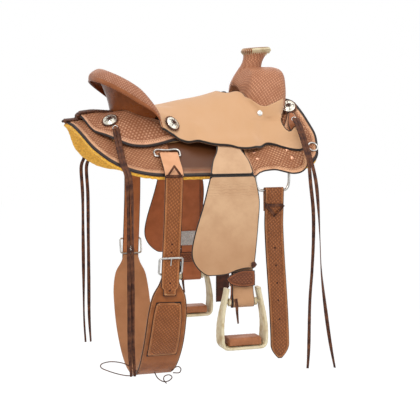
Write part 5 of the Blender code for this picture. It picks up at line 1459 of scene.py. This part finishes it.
def dress_front_rigging():
    """Front dees, the off billet and the near latigo."""
    for word, side in SIDES:
        path = even_curve([(x, DEE_Y * side, z) for x, z in DEE_ROUTE], 0.004, closed=True)
        wear(rod(f"dee_wire_{word}", path, DEE_WIRE_R, "steel", Y_AXIS, True, 18), "saddle", "steel",
             f"front_dee_{word}")

    def billet_x(z):
        return 0.210 + 0.022 * smoothstep((-0.20 - z) / 0.43)

    def pointed(share):
        return BILLET_WIDE * (1.0 if share < 0.93 else 1.0 - 0.80 * ((share - 0.93) / 0.07) ** 1.8)

    route = [Vector((x, y * OFF, z)) for x, y, z in folded_strap(-0.638, 0.0, FOLD_END_Z, billet_x)]
    wear(belt("off_billet_leather", smooth_curve(route, 0.007), X_AXIS, pointed, STRAP,
              ["billet", "flesh"]), "billet", "russet_leather", "off_billet")
    out = (DEE_Y + STRAP / 2) * OFF
    face = Matrix.Rotation(math.pi / 2, 4, "X")
    for n, z in enumerate((-0.325, -0.374, -0.424, -0.473, -0.527)):
        hole(f"billet_hole_{n}", Matrix.Translation((billet_x(z), out - 0.0001, z)) @ face, "billet",
             "russet_leather")
    turn = out - 0.0056
    lace_triangle("billet_lace_{}", [
        [Vector((x0, turn, z0)), Vector(((x0 + x1) / 2, turn - 0.0012, (z0 + z1) / 2)),
         Vector((x1, turn + 0.0006, z1))] for x0, z0, x1, z1 in
        ((0.186, -0.207, 0.212, -0.236), (0.238, -0.207, 0.210, -0.236), (0.190, -0.206, 0.236, -0.206))],
                  0.0085, "billet")
    knob = Matrix.Translation((0.186, turn - 0.0005, -0.206)) @ face
    wear(turning("billet_knob", [(0, -0.001), (0.006, -0.001), (0.0065, 0.002), (0.004, 0.004),
                                 (0, 0.0045)], knob, "thong", 18, 0.1, 5), "billet", "burgundy_leather")
    route = [Vector(p) for p in folded_strap(-0.545, 0.0035, -0.50, lambda z: 0.1955)]
    wear(belt("latigo_leather", smooth_curve(route, 0.008), X_AXIS, 0.041, STRAP, ["latigo"]),
         "latigo_strap", "burgundy_leather", "latigo")


def rounded_ring(corners, ease):
    """A closed path through corners, each eased by a distance."""
    route = []
    for n, here in enumerate(corners):
        back, ahead = corners[n - 1], corners[(n + 1) % len(corners)]
        first = here + (back - here).normalized() * ease
        last = here + (ahead - here).normalized() * ease
        for k in range(7):
            t = k / 6
            route.append(first * (1 - t) ** 2 + here * 2 * t * (1 - t) + last * t ** 2)
    return route


def dress_flank_side(word, side):
    """A rear dee, the flank billet folded on it, and the billet's buckle."""
    place = seated(REAR_DEE_X, REAR_DEE_W, side, REAR_DEE_H)
    path = even_curve([place @ Vector((u, v * -side, 0)) for u, v in REAR_DEE], 0.003, closed=True)
    wear(rod(f"rear_dee_wire_{word}", path, FLANK_WIRE_R, "steel", place.to_3x3() @ Z_AXIS, True),
         "saddle", "steel", f"rear_dee_{word}")
    bar = seated(REAR_DEE_X, REAR_DEE_W, 1.0, REAR_DEE_H) @ Vector((0, REAR_BAR_V + FOLD_ROOM - GAP, 0))
    down = place.to_3x3() @ Y_AXIS
    tilt = -abs(math.degrees(math.atan2(down.z, abs(down.y))))
    fold = round_bar((bar.y, bar.z), FLANK_WIRE_R + FOLD_ROOM + STRAP / 2, tilt + 180, tilt + 80, 8)
    lie = [tuple(draped(REAR_DEE_X, w, 1.0, h).yz) for w, h in
           ((0.171, 0.0276), (0.186, 0.0268), (0.200, 0.0266))]
    fall = [(BILLET_TOP_Y, -0.1165), (0.2280, -0.135), (0.2264, -0.17), (0.2248, -0.22),
            (0.2232, -0.30), (FLANK_Y, -0.36), (FLANK_Y - 0.0004, -0.44)]
    route = smooth_curve([Vector((flank_x(z), y * side, z)) for y, z in fold + lie + fall], 0.007)
    wear(belt(f"flank_billet_leather_{word}", route, X_AXIS,
              lambda s: FLANK_WIDE * (1.0 if s < 0.95 else 0.72), STRAP,
              ["flank" if side == OFF else "far_billet", "flesh"]),
         "flank_rig", "burgundy_leather", f"flank_billet_{word}")
    lap = [p + (face if face.y * side > 0 else -face) * 0.0032
           for p, _, face in frames(route, X_AXIS) if -0.122 < p.z < -0.045]
    wear(belt(f"billet_fold_{word}", lap, X_AXIS, FLANK_WIDE + 0.003, 0.0030, ["fold"]), "flank_rig",
         "russet_leather")
    out = BILLET_TOP_Y + STRAP / 2 + 0.0048
    lace_triangle("flank_lace_{}_" + word, [
        [Vector((x0, out * side, z0)), Vector(((x0 + x1) / 2, (out + 0.0008) * side, (z0 + z1) / 2)),
         Vector((x1, (out - 0.0008) * side, z1))] for x0, z0, x1, z1 in
        ((-0.102, -0.115, -0.084, -0.090), (-0.068, -0.115, -0.086, -0.090),
         (-0.108, -0.117, -0.062, -0.117))], 0.0060, "flank_rig")
    clear = STRAP / 2 + FLANK_WIRE_R + GAP
    top_y, low_y, half = FLANK_Y + clear, FLANK_Y - clear, FLANK_BUCKLE_WIDE / 2
    middle = flank_x((FLANK_BUCKLE_TOP + FLANK_BUCKLE_LOW) / 2)
    corners = [Vector((middle + x, y * side, z)) for x, z, y in
               ((-half, FLANK_BUCKLE_TOP, top_y), (half, FLANK_BUCKLE_TOP, top_y),
                (half, FLANK_BUCKLE_LOW, low_y), (-half, FLANK_BUCKLE_LOW, low_y))]
    path = even_curve(rounded_ring(corners, 0.007), 0.003, closed=True)
    lean = (corners[0] - corners[3]).normalized().cross(X_AXIS)
    wear(rod(f"buckle_wire_{word}", path, FLANK_WIRE_R, "steel", lean, True), "flank_rig", "silver",
         f"flank_buckle_{word}")
    tip = Vector((middle, (top_y + FLANK_WIRE_R * 0.6) * side, FLANK_BUCKLE_TOP + 0.001))
    foot = Vector((middle, low_y * side, FLANK_BUCKLE_LOW + FLANK_WIRE_R + 0.0026))
    bend = foot.lerp(tip, 0.85) + Vector((0, 0.0007 * side, 0))
    wear(rod(f"tongue_{word}", smooth_curve([foot, foot.lerp(tip, 0.4), bend, tip], 0.004),
             lambda s: 0.0022 - 0.0008 * s, "steel", X_AXIS), f"tongue_{word}", "silver",
         f"buckle_tongue_{word}")
    face = Matrix.Rotation(side * -math.pi / 2, 4, "X")
    for n, z in enumerate((-0.300, -0.322, -0.405, -0.425)):
        y = along([(-0.44, FLANK_Y - 0.0004), (-0.36, FLANK_Y), (-0.30, 0.2232)], z) + STRAP / 2
        hole(f"flank_hole_{n}_{word}", Matrix.Translation((flank_x(z), y * side, z)) @ face,
             "flank_rig", "burgundy_leather")


def dress_flank_rigging():
    """Rear dees, flank billets, their buckles and the flank cinch."""
    for word, side in SIDES:
        dress_flank_side(word, side)
    low_y = FLANK_Y - STRAP / 2 - FLANK_WIRE_R - GAP
    half = [Vector((low_y if k == 0 else y, z, wide)) for k, (y, z, wide) in enumerate(CINCH)]
    fine = smooth_curve(mirrored(half), 0.010)
    path = [Vector((flank_x(p.y), p.x, p.y)) for p in fine]
    lengths = travelled(path)
    widths = [(s / lengths[-1], p.z) for s, p in zip(lengths, fine)]

    def wide(share):
        return along(widths, share)

    wear(belt("cinch_leather", path, X_AXIS, wide, CINCH_THICK, ["cinch", "flesh"]), "flank_rig",
         "russet_leather", "flank_cinch")
    framed = frames(path, X_AXIS)
    lift = (CINCH_THICK / 2 + 0.0010) * (1 if framed[8][2].y < 0 else -1)
    for word, first, last in (("off", 0.075, 0.30), ("near", 0.70, 0.925)):
        panel = [p + face * lift for s, (p, _, face) in zip(lengths, framed)
                 if first <= s / lengths[-1] <= last]
        wear(belt(f"cinch_panel_{word}", panel, X_AXIS,
                  lambda s: wide(first + (last - first) * s) - 0.028, 0.0026, ["flank"]), "flank_rig",
             "russet_leather")
    for name, points in TIES.items():
        line = smooth_curve(points, 0.003)
        piece = rod(name, line, 0.0015, "thong", sides=8)
        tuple(line[0])
        travelled(line)[-1]
        wear(piece, "flank_rig", "burgundy_leather")


def concho(name, place, node):
    """A silver concho with a bridge and cuts for its strings, on a scalloped leather rosette."""
    wear(turning(f"{name}_rosette", [(0, 0), (ROSETTE_R * 0.97, 0), (ROSETTE_R, 0.0008),
                                     (ROSETTE_R * 0.98, 0.0019), (ROSETTE_R * 0.9, 0.0023), (0, 0.0024)],
                 place, "thong", 96, 0.03, 16), "saddle", "burgundy_leather")
    r = CONCHO_R
    wear(turning(f"{name}_silver",
                 [(0, 0.0023), (r, 0.0023), (r * 1.01, 0.0030), (r * 0.98, 0.0038), (r * 0.92, 0.0036),
                  (r * 0.88, 0.0040), (r * 0.82, 0.0052), (r * 0.68, 0.0066), (r * 0.50, 0.0076),
                  (r * 0.42, 0.0074), (r * 0.38, 0.0079), (r * 0.18, 0.0084), (0, 0.0086)],
                 place, "silver", 72), "saddle", "silver", node)

    def strip(word, points, across, wide, thick):
        wear(belt(f"{name}_{word}", [place @ Vector(p) for p in points], place.to_3x3() @ across, wide,
                  thick, ["latigo"]), "saddle", "burgundy_leather")

    for n, v in enumerate((-0.0048, 0.0048)):
        strip(f"slot_{n}", [(u, v, 0.0083 - 9.0 * (u * u + v * v)) for u in
                            (-0.0085, -0.004, 0.0, 0.004, 0.0085)], Y_AXIS, 0.0026, 0.0010)
    strip("bridge", [(u, 0, 0.0096 - 7.0 * u * u) for u in (-0.0050, -0.0025, 0.0, 0.0025, 0.0050)],
          Y_AXIS, 0.0052, 0.0014)
    for n, (du, dv) in enumerate(((1, 0), (0, 1))):
        strip(f"cut_{n}", [(du * s, dv * s, 0.0088 - 13.0 * s * s) for s in
                           (k / 8 * 0.0155 for k in range(-8, 9))], Vector((-dv, du, 0)), 0.0020, 0.0010)


def lacing(side):
    """The zigzag of one end of the lace that joins the rear jockeys and the skirts behind them."""
    on_jockeys = risen(1.0, GAP + JOCKEY + 0.0016)
    points = []
    for k in range(33):
        x = -0.192 - 0.0044 * k

        def top(ahead, w):
            if x > -0.296:
                return on_jockeys(ahead, w)
            return draped(ahead, w, 1.0, SKIRT_HIGH + 0.0012)

        p, middle = top(x, 0.013), top(x - 0.0022, 0.0)
        w = p.y if (k % 2 == 0) == (side < 0) else -p.y
        points += [Vector((p.x, w, p.z)), Vector((middle.x, 0, middle.z + 0.0016 + 0.0008 * side))]
    return points[:-1]


def dress_trim():
    """Conchos, small dees, the breast-collar dees, seat screws and the centre lacing."""
    for word, side in SIDES:
        spots = {"front": seated(0.303, 0.070, side, PLATE_HIGH + 0.0004),
                 "seat": on_seat(-0.060, SEAT_CONCHO_W, side, 0.0032),
                 "rear": on_deck_frame(-0.221, 0.069, side, GAP + JOCKEY + 0.0004)}
        for spot, place in spots.items():
            concho(f"{spot}_concho_{word}", place, f"concho_{spot}_{word}")
        place = seated(0.3365, 0.160, side, SKIRT_HIGH + BREAST_WIRE_R + GAP)
        path = [place @ Vector((BREAST_DEE_R * c, BREAST_DEE_R * s, 0)) for c, s in oval(40)]
        wear(rod(f"breast_ring_{word}", path, BREAST_WIRE_R, "steel", place.to_3x3() @ Z_AXIS, True),
             f"breast_ring_{word}", "silver", f"breast_dee_{word}")
        for spot, base in (("front", seated(0.306, 0.100, side, PLATE_HIGH + 0.0035)),
                           ("rear", on_deck_frame(-0.214, 0.095, side, GAP + JOCKEY + 0.0035))):
            path = [base @ Vector((0.0065 * c, 0.0062 * s, 0.0008 * c)) for c, s in oval(24)]
            wear(rod(f"small_ring_{spot}_{word}", path, 0.0013, "steel", base.to_3x3() @ Z_AXIS, True,
                     10), "saddle", "steel")
        tab = [draped(x, w, side, PLATE_HIGH + 0.0016) for x, w in
               ((0.303, 0.084), (0.302, 0.098), (0.300, 0.112), (0.298, 0.126), (0.297, 0.138))]
        wear(belt(f"concho_tab_{word}", smooth_curve(tab, 0.004), X_AXIS,
                  lambda s: 0.012 + 0.020 * math.sin(math.pi * min(s * 1.05, 1.0)) ** 1.5, 0.0026,
                  ["smooth"]), "saddle", "russet_leather")
        at = against(f"seat_apron_{word}", side)
        x, z, reach = SCREW_X, SCREW_Z, 0.006
        up = Vector((0, at(x, z + reach) - at(x, z - reach), 2 * reach)).normalized()
        out = Vector((0, up.z * side, -up.y))
        ahead = Vector((up.x, up.y * side, up.z)).cross(out)
        wear(turning(f"seat_screw_{word}", [(0, 0), (0.0082, 0), (0.0081, 0.0010), (0.0066, 0.0026),
                                            (0.0030, 0.0036), (0, 0.0038)],
                     frame_at(Vector((x, (at(x, z) + 0.0002) * side, z)), ahead, out), "screw", 28),
             "saddle", "silver")
        wear(rod(f"centre_lacing_{word}", smooth_curve(lacing(side), 0.004), 0.0038, "thong", Z_AXIS,
                 sides=8), "saddle", "burgundy_leather")


def string_route(name):
    """The points that a saddle string follows."""
    if name.startswith("string_front"):
        fore = name.endswith("fore")
        lie = [draped(0.312, w, OFF, h - 0.0025) if fore else draped(0.302, w, OFF, h + 0.0001)
               for w, h in FRONT_LIE]
        fall = ([(0.319, -0.240, -0.145), (0.327, -0.240, -0.220), (0.333, -0.238, -0.300),
                 (0.338, -0.238, -0.390), (0.350, -0.236, -0.480), (0.368, -0.234, -0.590),
                 (0.385, -0.232, -0.669)] if fore else
                [(0.303, -0.239, -0.145), (0.312, -0.238, -0.220), (0.319, -0.225, -0.300),
                 (0.317, -0.222, -0.390), (0.312, -0.220, -0.480), (0.310, -0.220, -0.612),
                 (0.307, -0.220, -0.668)])
        return lie + [Vector(p) for p in fall]
    x_top, x_low, side = {"string_rear_off_fore": (-0.209, -0.1985, OFF),
                          "string_rear_off_rear": (-0.218, -0.2085, OFF),
                          "string_rear_near_fore": (-0.222, -0.222, NEAR),
                          "string_rear_near_rear": (-0.238, -0.238, NEAR)}[name]
    lie = [on_deck(side, 0.0113)(x_top, w) for w in (0.098, 0.120, 0.140)]
    lie += [draped(x_top, w, side, REAR_LIE) for w in (0.165, 0.185)]
    fall = [Vector((x_low - 0.004, 0.226 * side, -0.120))]
    fall += [Vector((x_low, 0.228 * side, z)) for z in (-0.20, -0.32, -0.45, -0.57)]
    return lie + fall + [Vector((x_low + 0.004, 0.228 * side, -0.65))]


def dress_strings():
    """Saddle strings: flat thongs cut from latigo leather, with a slow twist."""
    wide = bpy.context.scene.saddle_sizes.string_width / 2
    for n, (name, turn_by) in enumerate(STRING_TWIST.items()):
        path = even_curve(string_route(name), 0.008)
        rings = []
        for i, (p, across, face) in enumerate(frames(path, X_AXIS)):
            share = i / (len(path) - 1)
            a = turn_by * math.sin(2.2 * math.pi * share + n) * smoothstep((share - 0.22) / 0.2)
            u = across * math.cos(a) + face * math.sin(a)
            v = face * math.cos(a) - across * math.sin(a)
            half = wide * (0.93 - 0.30 * smoothstep((share - 0.90) / 0.10))
            half *= 1 + 0.06 * noise.noise(Vector((share * 30, n * 5.0, 0)))
            rings.append([p + u * half * x + v * y for x, y in THONG_SECTION])
        piece = loft(f"thong_{name[7:]}", rings, ["thong"], angle=80)
        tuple(path[0])
        travelled(path)[-1]
        wear(piece, "saddle", "burgundy_leather", name)


def dress_hidden():
    """Finishes of the pieces that stay as they are: the tree's wood and the ground seat's leather."""
    paint_node("tree_bar_off", "wood")
    paint_node("tree_bar_near", "wood")
    paint_node("ground_seat", "flesh")


# Stage

LOOK_AT = Vector((0.09, 0.0, -0.235))
CAMERA_TURN, CAMERA_UP = math.radians(-18.0), math.radians(5.7)
CAMERA_AWAY = 3.2
FOCAL = 1103 / 420             # focal length over the frame's width
FLOOR_Z = -1.05
FLOOR_HALF = 9.0
SENSOR = 36                    # in millimetres, as Blender's cameras have it
WHITE = (1, 1, 1, 1)
LAMPS = (("key", (-1.5, -2.3, 1.7), 1.5, 47), ("top", (0.2, -0.3, 2.3), 2.4, 24),
         ("fill", (2.2, -1.9, 0.4), 2.2, 20), ("back", (0.6, 2.2, 0.9), 2.0, 10))


def set_stage():
    """A pale floor, soft lamps, a white background and the camera at the photograph's angle."""
    scene = bpy.context.scene
    scene.view_settings.view_transform = "Standard"
    world = bpy.data.worlds.new("studio")
    scene.world = world
    world.use_nodes = True
    tree = world.node_tree
    tree.nodes.clear()
    path = add(tree, "LightPath").outputs
    seen = Value(tree, path["Is Glossy Ray"]).do("MAXIMUM", path["Is Transmission Ray"])
    seen = Value(tree, path["Is Camera Ray"]).do("MAXIMUM", seen)
    lit = add(tree, "Background", {}, Color=(0.96, 0.98, 1.0, 1), Strength=0.56)
    white = add(tree, "Background", {}, Color=WHITE, Strength=1.0)
    both = add(tree, "MixShader", {}, i0=seen, i1=lit.outputs[0], i2=white.outputs[0])
    add(tree, "OutputWorld", {}, Surface=both.outputs[0])
    mesh = bpy.data.meshes.new("floor")
    mesh.from_pydata([(x * FLOOR_HALF, y * FLOOR_HALF, FLOOR_Z) for x, y in
                      ((-1, -1), (1, -1), (1, 1), (-1, 1))], [], [(0, 1, 2, 3)])
    floor = bpy.data.objects.new("floor", mesh)
    scene.collection.objects.link(floor)
    paint = bpy.data.materials.new("matt_white_paint")
    paint.use_nodes = True
    tree = paint.node_tree
    shader = tree.nodes["Principled BSDF"]
    feed(tree, shader, Base_Color=linear("#f2f2f2"), Roughness=0.9)
    seen = Value(tree, add(tree, "LightPath").outputs["Is Camera Ray"]) * 0.8
    glow = add(tree, "Emission", {}, Color=WHITE, Strength=1.12)
    both = add(tree, "MixShader", {}, i0=seen, i1=shader.outputs[0], i2=glow.outputs[0])
    feed(tree, tree.nodes["Material Output"], Surface=both.outputs[0])
    mesh.materials.append(paint)
    for name, spot, size, power in LAMPS:
        lamp = bpy.data.lights.new(name, "AREA")
        lamp.shape = "DISK"
        lamp.size = size
        lamp.energy = power
        thing = bpy.data.objects.new(name, lamp)
        thing.location = spot
        thing.rotation_euler = (LOOK_AT - Vector(spot)).to_track_quat("-Z", "Y").to_euler()
        scene.collection.objects.link(thing)
    level = math.cos(CAMERA_UP)
    back = Vector((math.sin(CAMERA_TURN) * level, -math.cos(CAMERA_TURN) * level, math.sin(CAMERA_UP)))
    lens = bpy.data.cameras.new("camera")
    lens.sensor_width = SENSOR
    lens.lens = SENSOR * FOCAL
    camera = bpy.data.objects.new("camera", lens)
    camera.location = LOOK_AT + back * CAMERA_AWAY
    camera.rotation_euler = (-back).to_track_quat("-Z", "Y").to_euler()
    scene.collection.objects.link(camera)
    scene.camera = camera


# Add-on

def colour(name, description, default):
    return bpy.props.FloatVectorProperty(name=name, description=description, default=linear(default),
                                         subtype="COLOR", size=4)


def length(name, description, default):
    return bpy.props.FloatProperty(name=name, description=description, default=default, min=0.0,
                                   subtype="DISTANCE", unit="LENGTH")


class SaddleFinish(bpy.types.PropertyGroup):
    """Colours of the saddle's finishes."""
    tan: colour("Tan leather", "Skirts and rigging plates", "#dba57c")
    jockey: colour("Jockeys", "Rear jockeys", "#e2ab86")
    nap: colour("Roughout", "Seat and front jockeys", "#cb9e76")
    lace: colour("Lace", "Saddle strings and laces", "#371b12")
    fleece: colour("Fleece", "Sheepskin lining", "#ffc246")
    rawhide: colour("Rawhide", "Horn edge and stirrups", "#d6c8a6")


class SaddleSizes(bpy.types.PropertyGroup):
    """Sizes of the dressed pieces."""
    horn_radius: length("Horn cap", "Radius of the horn's cap", 0.0415)
    string_width: length("Saddle strings", "Width of the saddle strings", 0.011)
    tuft: length("Fleece tufts", "How far the wool stands out round the skirts", 0.0030)
    roll_slope: bpy.props.FloatProperty(name="Roll slope", description="Slope of the cantle's roll",
                                        default=math.radians(35.0), subtype="ANGLE", unit="ROTATION")


def operator(word, label, work):
    """A maker of one group of pieces, as an operator."""
    def execute(self, context):
        work()
        return {"FINISHED"}

    return type(f"SADDLE_OT_{word}", (bpy.types.Operator,), {
        "bl_idname": f"saddle.{word}", "bl_label": label, "__doc__": work.__doc__, "execute": execute,
        "bl_options": {"REGISTER", "UNDO"}})


STEPS = (("materials", "Materials", make_materials), ("stage", "Stage", set_stage),
         ("skirts", "Skirts and fleece", dress_skirts), ("jockeys", "Jockeys and plates", dress_jockeys),
         ("seat", "Seat", dress_seat), ("cantle", "Cantle", dress_cantle),
         ("fork", "Fork and horn", dress_fork), ("apron", "Seat at the fork", dress_apron),
         ("legs", "Leathers and fenders", dress_legs), ("stirrups", "Stirrups", dress_stirrups),
         ("front_rigging", "Front rigging", dress_front_rigging),
         ("flank_rigging", "Flank rigging", dress_flank_rigging), ("trim", "Conchos and trim", dress_trim),
         ("strings", "Saddle strings", dress_strings), ("hidden", "Tree", dress_hidden))
OPERATORS = [operator(*step) for step in STEPS]


class SADDLE_PT_panel(bpy.types.Panel):
    """Lists the saddle's operators and colours"""
    bl_label = "Western saddle"
    bl_space_type = "VIEW_3D"
    bl_region_type = "UI"
    bl_category = "Saddle"

    def draw(self, context):
        scene = context.scene
        for values in (scene.saddle_finish, scene.saddle_sizes):
            for key in type(values).__annotations__:
                self.layout.prop(values, key)
        for word, label, _ in STEPS:
            self.layout.operator(f"saddle.{word}", text=label)


CLASSES = [SaddleFinish, SaddleSizes, *OPERATORS, SADDLE_PT_panel]


def register():
    for cls in CLASSES:
        bpy.utils.register_class(cls)
    bpy.types.Scene.saddle_finish = bpy.props.PointerProperty(type=SaddleFinish)
    bpy.types.Scene.saddle_sizes = bpy.props.PointerProperty(type=SaddleSizes)


def unregister():
    del bpy.types.Scene.saddle_finish, bpy.types.Scene.saddle_sizes
    for cls in reversed(CLASSES):
        bpy.utils.unregister_class(cls)


def main():
    register()
    for word, _, _ in STEPS:
        getattr(bpy.ops.saddle, word)()


if __name__ == "__main__":
    main()
